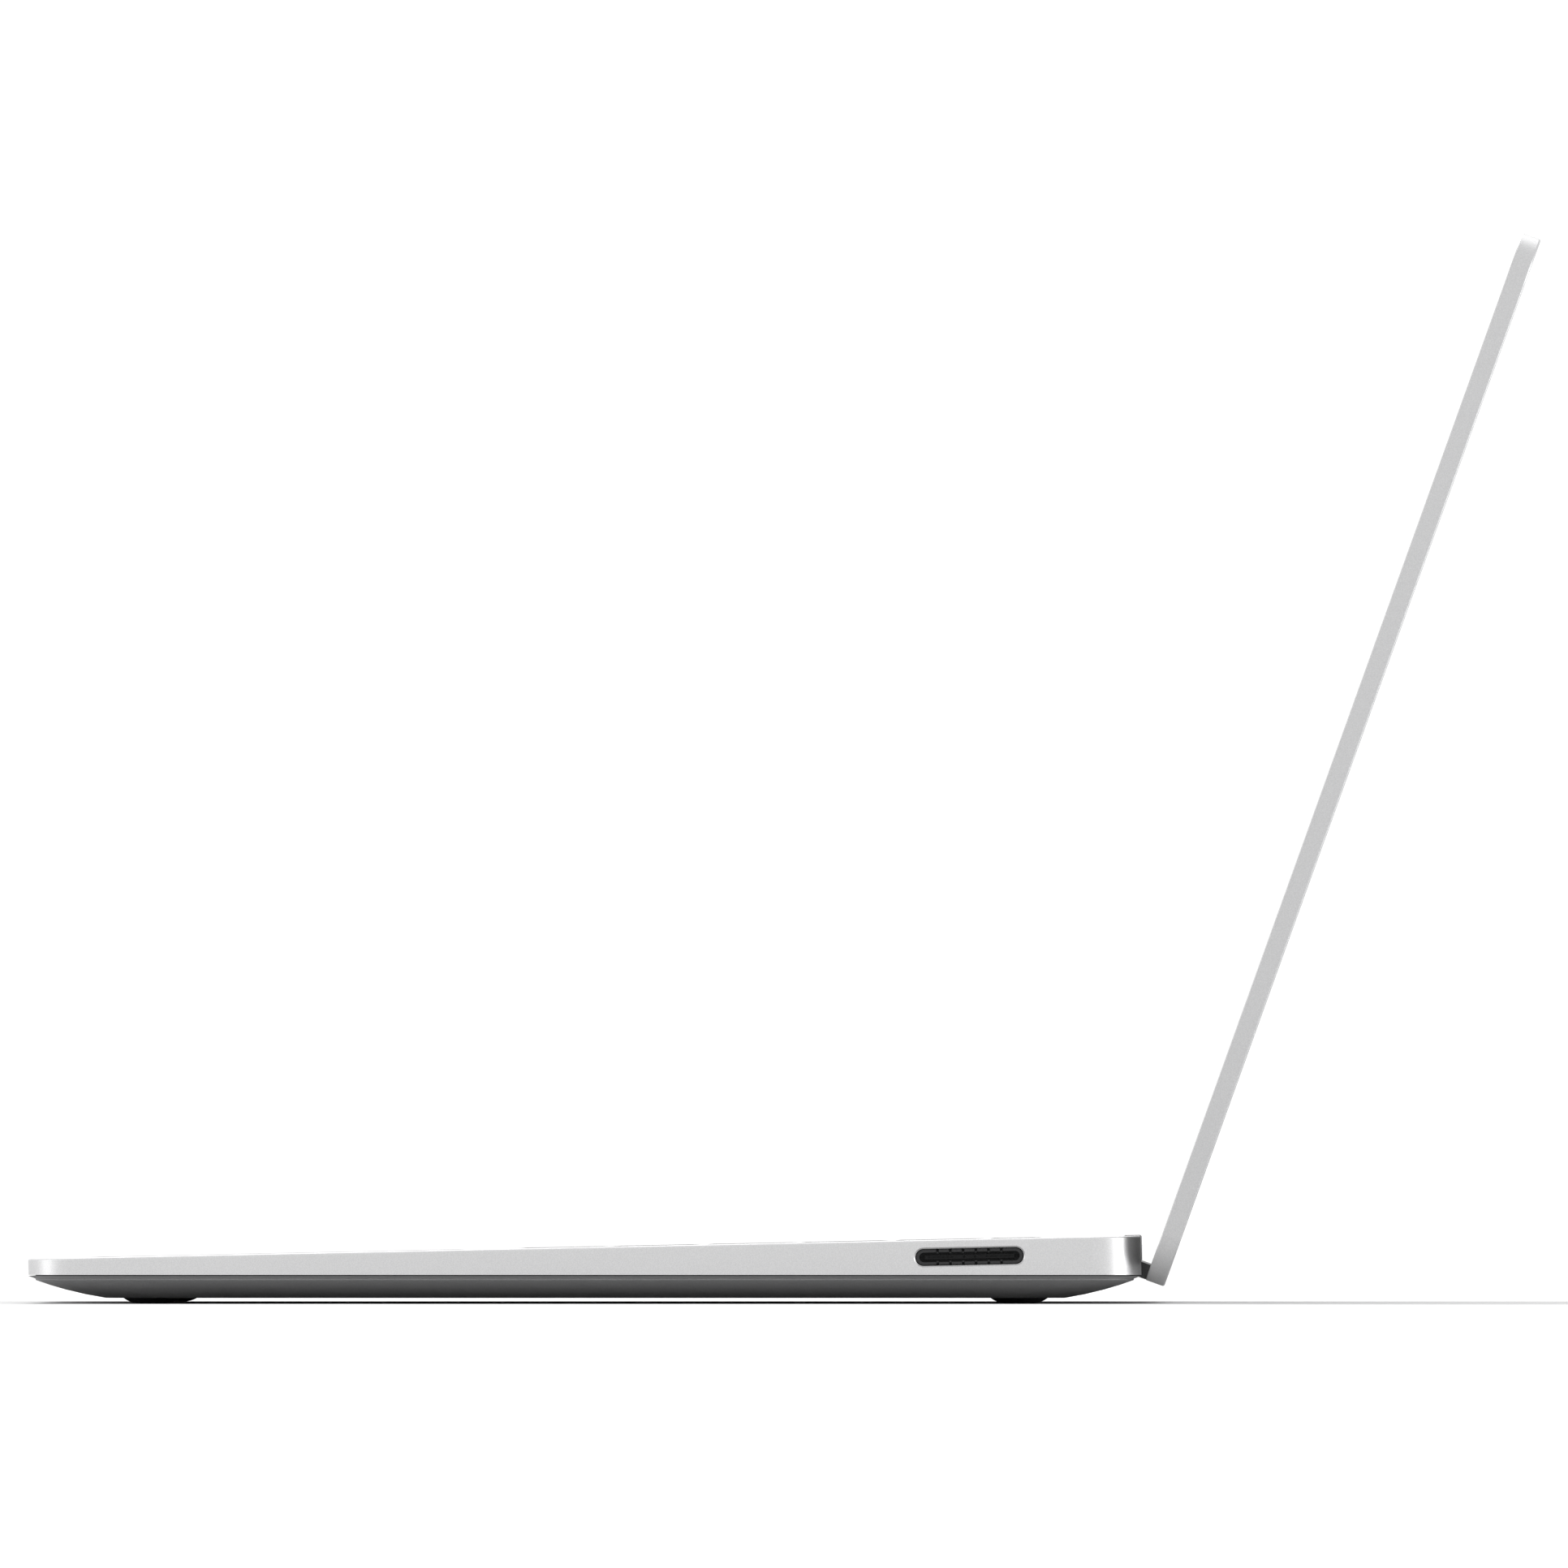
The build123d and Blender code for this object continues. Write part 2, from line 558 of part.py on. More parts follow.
def speaker(side):
    """Side speaker in its sealed box."""
    box = block(spread(side, (126.4, 134.0)), (22, 84), (5.0, 6.75))
    box = fillet(box.edges().filter_by(Axis.Z), 1.2)
    cone = block(spread(side, (127.4, 133.0)), (34, 54), (6.7, 7.1))
    return box + fillet(cone.edges().filter_by(Axis.Z), 2.5)


# ---- Sockets ----
def charge_port_shell():
    """Magnetic charging socket: a round-ended ring with six notches above and below, round a sunken floor."""
    y, z = CHARGE
    long, tall = CHARGE_SIZE
    clear = 0.06
    outer = stadium_plug(y, z, (long - 2 * clear, tall - 2 * clear), (HALF - 4.2, HALF - CHARGE_BEVEL))
    outer = chamfer(outer.edges().group_by(Axis.X)[-1], 0.18)
    flange = stadium_plug(y, z, (long + 3.0, tall + 0.3), (HALF - 6.2, HALF - 4.2))
    room = stadium_plug(y, z, (long - 1.5, 1.8), (HALF - 2.6, HALF + 1))
    body = outer + flange - room
    for index in range(6):
        along = (index - 2.5) * 2.36
        for edge in (-1, 1):
            at = Pos(HALF - 0.3, y, z) * Rot(SLOPE, 0, 0)
            body -= at * Pos(0, along, edge * (tall / 2 - 0.35)) * Box(2.4, 0.5, 0.7)
            body += at * Pos(-1.0, along, edge * 0.86) * Box(1.4, 0.34, 0.3)
    return body


def charge_port_contacts():
    """Tongue in the charging socket, with the spring pins that stand in its slots."""
    at = Pos(HALF - 2.6, CHARGE[0], CHARGE[1]) * Rot(SLOPE, 0, 0)
    tongue = Box(1.5, 16.6, 0.75, align=(Align.MIN, Align.CENTER, Align.CENTER))
    for y, length in ((-5.3, 4.6), (5.3, 4.6)):
        tongue -= Pos(1.5, y, 0) * Box(0.5, length, 0.28)
    for y in (-1.0, 1.0):
        tongue -= Pos(1.4, y, 0) * Rot(0, 90, 0) * Cylinder(0.22, 0.6)
    pins = []
    for middle in (-5.3, 5.3):
        for index in range(5):
            pins.append(at * Pos(1.38, middle + (index - 2) * 0.85, 0) * Box(0.24, 0.5, 0.2))
    return Compound([at * tongue, *pins])


def usb_a_socket():
    """Pressed steel shell with the contact tongue inside."""
    wide, tall = USB_A_SIZE
    sheet = 0.18
    outer = tilted_box((-HALF + 0.2, -HALF + 11.9), USB_A, (wide, tall))
    room = tilted_box((-HALF - 1, -HALF + 11.1), USB_A, (wide - 2 * sheet, tall - 2 * sheet))
    tongue = tilted_box((-HALF + 2.4, -HALF + 11.5), (USB_A[0], USB_A[1] + 1.0), (11.1, 1.4))
    return outer - room + tongue


def usb_c_socket():
    """Oval steel shell with a central tongue."""
    shell = stadium_plug(*USB_C, (8.9, 3.15), (-HALF + 0.2, -HALF + 9.0))
    room = stadium_plug(*USB_C, (8.34, 2.56), (-HALF - 1, -HALF + 8.2))
    tongue = Pos(-HALF + 5.2, *USB_C) * Rot(SLOPE, 0, 0) * Box(6.6, 6.2, 0.7)
    return shell - room + tongue


def audio_jack():
    """Moulded socket for a 3.5 mm plug."""
    y, z = AUDIO
    start = -HALF + WALL + 0.02
    body = rod((start, start + AUDIO_LENGTH), y, z, 2.28)
    body += block((start + 3, start + AUDIO_LENGTH), (y - 3.0, y + 3.0), (z - 2.1, z + 2.1))
    return body - rod((start - 1, start + AUDIO_LENGTH + 1), y, z, AUDIO_BORE)


# ---- Hinge ----
def hinge_bracket(side):
    """Steel bracket screwed under the deck, ending in the knuckle that grips the shaft."""
    plate = block(spread(side, (97.0, 134.5)), BRACKET_Y, BRACKET_LEVEL)
    knuckle = spread(side, KNUCKLE)
    plate += block(knuckle, (BRACKET_Y[1] - 1, PIVOT_Y), BRACKET_LEVEL)
    plate += rod(knuckle, PIVOT_Y, PIVOT_Z, BARREL)
    for x in BRACKET_SCREWS:
        plate -= post(side * x, sum(BRACKET_Y) / 2, (5, 12), 1.1)
    return plate - rod(knuckle, PIVOT_Y, PIVOT_Z, SHAFT + SHAFT_CLEARANCE)


def hinge_shaft(side):
    """Steel shaft with a flat milled where the leaf is riveted on."""
    shaft = rod(spread(side, (95.5, 124.8)), 0, 0, SHAFT)
    return LID * (shaft - block(spread(side, (LEAF[0] - 0.1, LEAF[1] + 0.1)), (-3, -0.5), (-3, 3)))


def hinge_leaf(side):
    """Steel leaf from the shaft up into the lid, bent flat against its inner face."""
    across = spread(side, LEAF)
    leaf = block(across, (-1.5, -0.5), (-FACE - 2.6, 1.4))
    leaf += block(across, (-1.5, 14.0), (-FACE - 2.6, -FACE - 1.85))
    for x in (100.5, 111.5):
        leaf -= post(side * x, 7.5, (-9, -5), 0.9)
    return LID * leaf


def hinge_bar():
    """Dark moulded bar along the lid's lower edge, with the barrel that hides both shafts."""
    bar = block((-BAR_HALF, BAR_HALF), (LID_END + 0.07, BAR_TOP), (-FACE + 0.02, 0))
    bar += rod((-BAR_HALF, BAR_HALF), 0, 0, BARREL)
    for side in SIDES.values():
        bar -= rod(spread(side, (95.3, BAR_HALF + 1)), 0, 0, SHAFT + 0.04)
        bar -= block(spread(side, (LEAF[0] - 0.1, LEAF[1] + 0.1)), (-1.56, -0.44), (-FACE - 1, 1.46))
    bar -= block((-9.2, 9.2), (-1.5, -0.9), (-FACE - 1, 1.2))
    return LID * bar


def base_screws():
    """Small screws inside the base, for the hinge brackets, the keyboard plate and the pad frame."""
    screws = []
    for side in SIDES.values():
        for x in BRACKET_SCREWS:
            y = sum(BRACKET_Y) / 2
            head = post(side * x, y, (BRACKET_LEVEL[0] - 0.6, BRACKET_LEVEL[0]), 1.8)
            screws.append(head + post(side * x, y, (BRACKET_LEVEL[0], BRACKET_LEVEL[1] + 1.2), 0.98))
    for x, y in KEYBOARD_TABS:
        screws.append(DECK * post(x, y, (-PLATE_LEVEL - 1.0, -PLATE_LEVEL - 0.6), 1.5))
    for x, y in PAD_POSTS:
        head = post(x, y, (-3.5, -3.1), 1.5)
        screws.append(DECK * (head + post(x, y, (-3.1, -1.6), 0.78)))
    return Compound(screws)


def lid_screws():
    """Four screws that hold the hinge leaves to the lid."""
    screws = []
    for side in SIDES.values():
        for x in (100.5, 111.5):
            head = post(side * x, 7.5, (-FACE - 1.85, -FACE - 1.4), 1.5)
            screws.append(LID * (head + post(side * x, 7.5, (-FACE - 2.9, -FACE - 1.85), 0.8)))
    return Compound(screws)


# ---- Lid ----
def lid_outline(inset, corner):
    middle = (LID_TOP + LID_END) / 2
    return Pos(0, middle) * RectangleRounded(WIDTH - 2 * inset, DECK_LENGTH - 2 * inset, corner)


def lid_shell():
    """The aluminium lid: a shallow tray with a wider rim along the hinge."""
    skin = 0.75
    shell = Pos(0, 0, -LID_BACK) * extrude(lid_outline(0, CORNER), LID_THICKNESS)
    shell = fillet(shell.edges().group_by(Axis.Z)[0], LID_EDGE)
    shell = chamfer(shell.edges().group_by(Axis.Z)[-1], 0.15)
    tray = Pos(0, 0, -LID_BACK + skin) * extrude(lid_outline(RIM, CORNER - RIM), LID_THICKNESS)
    tray -= block((-HALF, HALF), (LID_END - 1, BAR_TOP + 0.3), (-LID_BACK, 0))
    shell -= tray
    for side in SIDES.values():
        shell -= block(spread(side, (LEAF[0] - 0.1, LEAF[1] + 0.1)), (-1.56, 1.0), (-LID_BACK + skin, 0))
        for x in (100.5, 111.5):
            shell += post(side * x, 7.5, (-LID_BACK + 0.4, -FACE - 2.62), 1.9)
            shell -= post(side * x, 7.5, (-LID_BACK + 0.5, -FACE), 0.82)
    shell -= block((-9.2, 9.2), (-1.5, 1.0), (-LID_BACK + skin, 0))
    return LID * shell


def glass_limits():
    return BAR_TOP + 0.3 + GASKET, LID_TOP - RIM - GASKET


def display_gasket():
    """Soft black frame that seals the glass to the metal rim."""
    low, high = glass_limits()
    width = WIDTH - 2 * RIM
    frame = RectangleRounded(width - 0.04, high - low + 2 * GASKET - 0.04, CORNER - RIM)
    window = RectangleRounded(width - 2 * GASKET, high - low, CORNER - RIM - GASKET)
    ring = extrude(frame - window, 1.2)
    return LID * Pos(0, (low + high) / 2, -FACE - 1.2) * ring


def display_glass():
    """Cover glass over the whole front of the lid."""
    low, high = glass_limits()
    size = WIDTH - 2 * RIM - 2 * GASKET - 0.04, high - low - 0.04
    plate = slab(*size, CORNER - RIM - GASKET, (-0.75, -0.05))
    plate = chamfer(plate.edges().group_by(Axis.Z)[-1], 0.1)
    return LID * Pos(0, (low + high) / 2, -FACE) * plate


def display_panel():
    """Liquid-crystal panel with its light guide, bonded behind the glass."""
    low, high = LID_END + BEZEL_BOTTOM, LID_TOP - BEZEL_TOP
    panel = block((-HALF + BEZEL_SIDE, HALF - BEZEL_SIDE), (low, high), (-FACE - 2.3, -FACE - 0.76))
    driver = block((-80, 80), (low - 3.2, low), (-FACE - 1.5, -FACE - 0.76))
    return LID * (panel + driver)


def camera_module():
    """Camera with its board and a microphone either side, above the panel."""
    y = LID_TOP - BEZEL_TOP / 2
    top = -FACE - 0.77
    board = block((-31, 31), (y - 2.6, y + 2.6), (top - 0.6, top - 0.3))
    board += block((-3.2, 3.2), (y - 2.6, y + 2.6), (top - 1.9, top - 0.5))
    board += post(0, y, (top - 0.5, top), 1.6)
    for x in (-27, 27):
        board += block((x - 1.6, x + 1.6), (y - 1.2, y + 1.2), (top - 0.35, top - 0.02))
    return LID * board


def lid_magnets():
    """Magnets along the lid's free edge that hold it shut."""
    magnets = []
    for x in (-118, -98, 98, 118):
        magnet = block((x - 8, x + 8), (LID_TOP - 5.8, LID_TOP - 2.6), (-FACE - 2.6, -FACE - 1.0))
        magnets.append(LID * magnet)
    return Compound(magnets)


def display_cable():
    """Flat cable from the barrel to the panel's driver board."""
    low = LID_END + BEZEL_BOTTOM - 3.4
    cable = block((-9, 9), (-1.35, -1.05), (-FACE - 2.4, 1.0))
    cable += block((-9, 9), (-1.35, low - 0.1), (-FACE - 2.6, -FACE - 2.35))
    cable += block((-9, 9), (low - 2.0, low - 0.1), (-FACE - 2.5, -FACE - 1.6))
    return LID * cable


def parts():
    """Every sub-part of the laptop, by name, in the base's own drawing frame."""
    made = {
        "top_case": top_case(),
        "bottom_cover": bottom_cover(),
        "case_screws": case_screws(),
        "base_screws": base_screws(),
        "keyboard_plate": keyboard_plate(),
        "switch_sheet": switch_sheet(),
        "trackpad_glass": trackpad_glass(),
        "trackpad_board": trackpad_board(),
        "trackpad_frame": trackpad_frame(),
        "mainboard": mainboard(),
        "processor": processor(),
        "storage_module": storage_module(),
        "wireless_module": wireless_module(),
        "heat_pipe": heat_pipe(),
        "heat_fins": heat_fins(),
        "fan_housing": fan_housing(),
        "fan_rotor": fan_rotor(),
        "charge_port_shell": charge_port_shell(),
        "charge_port_contacts": charge_port_contacts(),
        "usb_a_socket": usb_a_socket(),
        "usb_c_socket": usb_c_socket(),
        "audio_jack": audio_jack(),
        "hinge_bar": hinge_bar(),
        "lid_screws": lid_screws(),
        "lid_shell": lid_shell(),
        "display_gasket": display_gasket(),
        "display_glass": display_glass(),
        "display_panel": display_panel(),
        "camera_module": camera_module(),
        "lid_magnets": lid_magnets(),
        "display_cable": display_cable(),
    }
    for name, side in SIDES.items():
        made[f"hinge_bracket_{name}"] = hinge_bracket(side)
        made[f"hinge_shaft_{name}"] = hinge_shaft(side)
        made[f"hinge_leaf_{name}"] = hinge_leaf(side)
        made[f"battery_{name}"] = battery(side)
        made[f"speaker_{name}"] = speaker(side)
    for x, y in FEET:
        made[f"foot_{'front' if y < DEPTH / 2 else 'rear'}_{'left' if x < 0 else 'right'}"] = foot(x, y)
    for name, keys in keyboard().items():
        made[name] = DECK * Compound([keycap(key) for key in keys])
    return made


os.makedirs("parts", exist_ok=True)
for name, shape in parts().items():
    export_step(HOME * shape, f"parts/{name}.step")
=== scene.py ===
import json
import math

import bmesh
import bpy
from mathutils import Matrix, Vector


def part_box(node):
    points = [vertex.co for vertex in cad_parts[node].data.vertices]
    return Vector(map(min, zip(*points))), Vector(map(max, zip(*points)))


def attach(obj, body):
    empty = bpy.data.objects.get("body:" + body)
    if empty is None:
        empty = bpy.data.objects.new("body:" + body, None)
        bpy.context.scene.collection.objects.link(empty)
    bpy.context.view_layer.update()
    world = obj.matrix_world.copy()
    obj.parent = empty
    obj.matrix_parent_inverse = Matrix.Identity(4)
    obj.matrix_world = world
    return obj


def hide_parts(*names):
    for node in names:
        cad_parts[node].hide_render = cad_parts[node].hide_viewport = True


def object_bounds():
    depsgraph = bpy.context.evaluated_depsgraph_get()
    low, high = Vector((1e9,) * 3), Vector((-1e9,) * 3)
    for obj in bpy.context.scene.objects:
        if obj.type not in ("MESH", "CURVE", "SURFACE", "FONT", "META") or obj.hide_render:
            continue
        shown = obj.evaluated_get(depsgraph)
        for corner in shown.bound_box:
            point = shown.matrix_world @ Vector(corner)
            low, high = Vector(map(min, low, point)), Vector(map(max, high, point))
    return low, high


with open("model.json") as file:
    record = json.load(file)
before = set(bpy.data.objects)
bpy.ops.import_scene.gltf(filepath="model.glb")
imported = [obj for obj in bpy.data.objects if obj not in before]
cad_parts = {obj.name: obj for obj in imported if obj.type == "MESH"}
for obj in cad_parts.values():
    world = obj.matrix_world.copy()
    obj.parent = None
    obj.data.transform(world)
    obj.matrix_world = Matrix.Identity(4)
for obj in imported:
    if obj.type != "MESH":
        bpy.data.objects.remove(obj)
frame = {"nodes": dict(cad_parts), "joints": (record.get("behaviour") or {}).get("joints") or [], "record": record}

cad_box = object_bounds()


# ---- Bottom cover ----
# One thin shell moulded in grey glass-filled plastic, with a short chamfer under the seam and a long shallow
# bevel down to the flat. It is pushed up into the case on a lip and screwed from under the feet.
MM = 0.001


def new_finish(name, metallic=0.0, roughness=0.5, specular=0.5):
    """A material with one shader, whose even values are set on its own sockets."""
    material = bpy.data.materials.new(name)
    material.use_nodes = True
    shader = material.node_tree.nodes["Principled BSDF"]
    shader.inputs["Metallic"].default_value = metallic
    shader.inputs["Roughness"].default_value = roughness
    shader.inputs["Specular IOR Level"].default_value = specular
    return material, shader


def grain(material, size, detail=2.0, stretch=(1, 1, 1), cells=False):
    """A grey pattern whose lumps are about this size in metres, longer along an axis stretched below 1."""
    tree = material.node_tree
    place = tree.nodes.new("ShaderNodeTexCoord")
    scale = tree.nodes.new("ShaderNodeMapping")
    scale.inputs["Scale"].default_value = [part / size for part in stretch]
    tree.links.new(place.outputs["Object"], scale.inputs["Vector"])
    texture = tree.nodes.new("ShaderNodeTexVoronoi" if cells else "ShaderNodeTexNoise")
    texture.inputs["Scale"].default_value = 1.0
    if not cells:
        texture.inputs["Detail"].default_value = detail
    tree.links.new(scale.outputs["Vector"], texture.inputs["Vector"])
    return texture.outputs["Distance" if cells else "Fac"]


def spread(material, pattern, socket, low, high, start=0.3, end=0.7):
    """Drives a shader value from a pattern, between low and high."""
    tree = material.node_tree
    fit = tree.nodes.new("ShaderNodeMapRange")
    fit.inputs["From Min"].default_value = start
    fit.inputs["From Max"].default_value = end
    fit.inputs["To Min"].default_value = low
    fit.inputs["To Max"].default_value = high
    tree.links.new(pattern, fit.inputs["Value"])
    tree.links.new(fit.outputs["Result"], socket)


def tint(material, shader, pattern, dark, light, start=0.3, end=0.7):
    """Colours the surface between two tones by a pattern."""
    tree = material.node_tree
    mix = tree.nodes.new("ShaderNodeMix")
    mix.data_type = "RGBA"
    mix.inputs[6].default_value = (*dark, 1)
    mix.inputs[7].default_value = (*light, 1)
    spread(material, pattern, mix.inputs[0], 0.0, 1.0, start, end)
    tree.links.new(mix.outputs[2], shader.inputs["Base Color"])


def relief(material, shader, pattern, depth, strength=1.0):
    """Raises the surface by a pattern, to a depth in metres."""
    tree = material.node_tree
    bump = tree.nodes.new("ShaderNodeBump")
    bump.inputs["Strength"].default_value = strength
    bump.inputs["Distance"].default_value = depth
    tree.links.new(pattern, bump.inputs["Height"])
    tree.links.new(bump.outputs["Normal"], shader.inputs["Normal"])


def paint(material, *nodes):
    """Gives the finish to whole CAD parts."""
    for node in nodes:
        part = frame["nodes"][node]
        part.data.materials.clear()
        part.data.materials.append(material)


# The plastic's grey is set darker than its own tone: painted shade for the cover, which faces down to the table
cover_plastic, shader = new_finish("cover_plastic", roughness=0.5, specular=0.4)
tint(cover_plastic, shader, grain(cover_plastic, 0.35 * MM), (0.200, 0.200, 0.204), (0.240, 0.240, 0.244))
spread(cover_plastic, grain(cover_plastic, 14 * MM, 3), shader.inputs["Roughness"], 0.44, 0.58)
relief(cover_plastic, shader, grain(cover_plastic, 0.25 * MM), 0.02 * MM, 0.35)
paint(cover_plastic, "bottom_cover")


# ---- Feet ----
# Four moulded rubber discs with a domed rim and a flat sole, stuck into round seats in the cover, over the
# screws that hold it.
foot_rubber, shader = new_finish("foot_rubber", roughness=0.8, specular=0.25)
tint(foot_rubber, shader, grain(foot_rubber, 0.6 * MM, 4), (0.012, 0.012, 0.013), (0.03, 0.03, 0.031))
spread(foot_rubber, grain(foot_rubber, 2 * MM, 3), shader.inputs["Roughness"], 0.7, 0.9)
relief(foot_rubber, shader, grain(foot_rubber, 0.3 * MM), 0.03 * MM, 0.5)
paint(foot_rubber, "foot_front_left", "foot_front_right", "foot_rear_left", "foot_rear_right")


# ---- Screws ----
# Small steel machine screws, zinc plated: four under the feet, the rest inside the base and the lid, where
# they hold the hinges, the keyboard and the trackpad.
screw_steel, shader = new_finish("screw_steel", metallic=1.0, roughness=0.35)
tint(screw_steel, shader, grain(screw_steel, 0.4 * MM, 4), (0.42, 0.42, 0.43), (0.62, 0.62, 0.62))
spread(screw_steel, grain(screw_steel, 0.2 * MM, 3), shader.inputs["Roughness"], 0.28, 0.45)
paint(screw_steel, "case_screws", "base_screws", "lid_screws")


# ---- Top case ----
# The deck and the side walls, milled from one aluminium plate, then blasted with fine beads and anodised,
# which leaves a soft sparkle. It has a well for every key, a window for the trackpad and an opening for each
# socket.
def anodised(name, dark, light):
    """Bead-blasted, anodised aluminium between two tones."""
    metal, shader = new_finish(name, metallic=0.8, roughness=0.4)
    tint(metal, shader, grain(metal, 0.22 * MM, 1), dark, light)
    spread(metal, grain(metal, 18 * MM, 3), shader.inputs["Roughness"], 0.39, 0.45)
    relief(metal, shader, grain(metal, 0.16 * MM, 1), 0.006 * MM, 0.3)
    return metal


paint(anodised("case_aluminium", (0.575, 0.575, 0.579), (0.650, 0.650, 0.653)), "top_case")


# ---- Keyboard base ----
# A pressed steel plate that carries the keys, screwed to posts under the deck. On it lies a dark silicone
# sheet with a springy dome under each key.
plate_steel, shader = new_finish("plate_steel", metallic=1.0, roughness=0.4)
rolled = (0.08, 1, 1)
tint(plate_steel, shader, grain(plate_steel, 0.3 * MM, 3, rolled), (0.36, 0.36, 0.37), (0.56, 0.56, 0.56))
relief(plate_steel, shader, grain(plate_steel, 0.2 * MM, 2, rolled), 0.01 * MM, 0.5)
paint(plate_steel, "keyboard_plate", "trackpad_frame")

switch_silicone, shader = new_finish("switch_silicone", roughness=0.55, specular=0.35)
tint(switch_silicone, shader, grain(switch_silicone, 5 * MM, 3), (0.05, 0.05, 0.052), (0.08, 0.08, 0.082))
spread(switch_silicone, grain(switch_silicone, 1 * MM), shader.inputs["Roughness"], 0.45, 0.65)
paint(switch_silicone, "switch_sheet")


# ---- Keycaps ----
# Shallow caps moulded in fine-grained plastic, with rounded rims and a dished top for the fingertip. Each
# snaps on to its switch and moves straight down through its well.
press = Vector(next(j["axis"] for j in frame["joints"] if j["name"] == "space_bar_press"))
DECK_UP = -press.normalized()
DECK_BACK = Vector((1, 0, 0)).cross(-DECK_UP).normalized()
if DECK_BACK.y < 0:
    DECK_BACK.negate()
DECK_TURN = Matrix((Vector((1, 0, 0)), DECK_BACK, DECK_UP)).transposed()
SLOPE = math.atan2(DECK_BACK.z, DECK_BACK.y)
KEY_GAP = 2.2 * MM
KEY_HEIGHT = 1.7 * MM
KEY_CORNER = 1.3 * MM
HALF_KEY_GAP = 0.8 * MM
DISH = 0.1 * MM
DISH_EDGE = 0.5 * MM
LEAST_CORNER = 0.35 * MM
SKIRT = 0.9 * MM
CAP_TOP = 0.9 * MM
# The rounded rim, as distances in from the side and down from the top, in millimetres
RIM_PROFILE = ((0.0, 0.34), (0.04, 0.17), (0.13, 0.06), (0.28, 0.01), (0.45, 0.0))
# Where each key of a node begins, counted in key widths from the first
KEY_STARTS = {
    "keys_function_row": [*range(13), 14],
    "keys_number_row": [*range(13)],
    "keys_upper_row": [*range(13)],
    "keys_home_row": [*range(11)],
    "keys_lower_row": [*range(10)],
    "keys_modifier": [0, 1, 2, 3, 9.5, 10.5],
    "keys_arrow": [0, 2],
}


def rounded_ring(width, depth, radius, steps=5):
    """Corner points of a rectangle with round corners, anticlockwise."""
    points = []
    for corner, (sx, sy) in enumerate(((1, 1), (-1, 1), (-1, -1), (1, -1))):
        for step in range(steps + 1):
            angle = math.radians(90) * (corner + step / steps)
            x = sx * (width / 2 - radius) + radius * math.cos(angle)
            y = sy * (depth / 2 - radius) + radius * math.sin(angle)
            points.append((x, y))
    return points


def stack(mesh, rings, place):
    """Joins rings of points, bottom to top, into a closed body, and returns its top face."""
    loops = [[mesh.verts.new(place(*point)) for point in ring] for ring in rings]
    count = len(loops[0])
    for low, high in zip(loops, loops[1:]):
        for index in range(count):
            after = (index + 1) % count
            mesh.faces.new((low[index], low[after], high[after], high[index]))
    mesh.faces.new(list(reversed(loops[0])))
    return mesh.faces.new(loops[-1])


def make_piece(name, mesh, *materials, smooth_angle=35):
    """Turns finished mesh data into an object, shaded smooth except at its hard edges."""
    bmesh.ops.recalc_face_normals(mesh, faces=mesh.faces)
    data = bpy.data.meshes.new(name)
    mesh.to_mesh(data)
    mesh.free()
    for material in materials:
        data.materials.append(material)
    data.shade_smooth()
    data.set_sharp_from_angle(angle=math.radians(smooth_angle))
    piece = bpy.data.objects.new(name, data)
    bpy.context.scene.collection.objects.link(piece)
    return piece


def middle(box):
    return (box[0] + box[1]) / 2


def deck_point(centre, x, y, z):
    return centre + DECK_TURN @ Vector((x, y, z))


def add_cap(mesh, centre, width, depth):
    """One cap about its middle: hollow underneath, with a straight skirt, rounded rim and dished top."""
    reach = 0.42 * min(width, depth)
    top = KEY_HEIGHT / 2
    sections = [(SKIRT, top - CAP_TOP), (SKIRT, -top), (0.0, -top)]
    sections += [(inset * MM, top - drop * MM) for inset, drop in RIM_PROFILE]
    for share in (0.35, 0.6, 0.8, 1.0):
        inset = max(DISH_EDGE, reach * share)
        sections.append((inset, top - DISH * math.sin(math.radians(90 * share))))
    rings = []
    for inset, height in sections:
        radius = max(LEAST_CORNER, KEY_CORNER - 0.6 * inset)
        ring = rounded_ring(width - 2 * inset, depth - 2 * inset, radius)
        rings.append([(x, y, height) for x, y in ring])
    stack(mesh, rings, lambda x, y, z: deck_point(centre, x, y, z))


def key_places(node):
    """Middle, width and depth of every key of a node, from the node's own box."""
    low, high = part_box(node)
    centre = middle((low, high))
    depth = ((high.y - low.y) - KEY_HEIGHT * math.sin(SLOPE)) / math.cos(SLOPE)
    starts = KEY_STARTS.get(node, [0])
    pitch = (high.x - low.x + KEY_GAP) / (starts[-1] + 1)
    places = []
    for start in starts:
        x = low.x + start * pitch + (pitch - KEY_GAP) / 2
        places.append((Vector((x, centre.y, centre.z)), pitch - KEY_GAP, depth))
    if node == "keys_arrow":
        half = (depth - HALF_KEY_GAP) / 2
        x = low.x + pitch + (pitch - KEY_GAP) / 2
        for way in (1, -1):
            here = Vector((x, centre.y, centre.z)) + DECK_BACK * way * (half + HALF_KEY_GAP) / 2
            places.append((here, pitch - KEY_GAP, half))
    return places


key_plastic, shader = new_finish("key_plastic", roughness=0.5, specular=0.4)
tint(key_plastic, shader, grain(key_plastic, 0.3 * MM), (0.47, 0.47, 0.475), (0.53, 0.53, 0.535))
spread(key_plastic, grain(key_plastic, 9 * MM, 3), shader.inputs["Roughness"], 0.42, 0.56)
relief(key_plastic, shader, grain(key_plastic, 0.18 * MM), 0.012 * MM, 0.35)

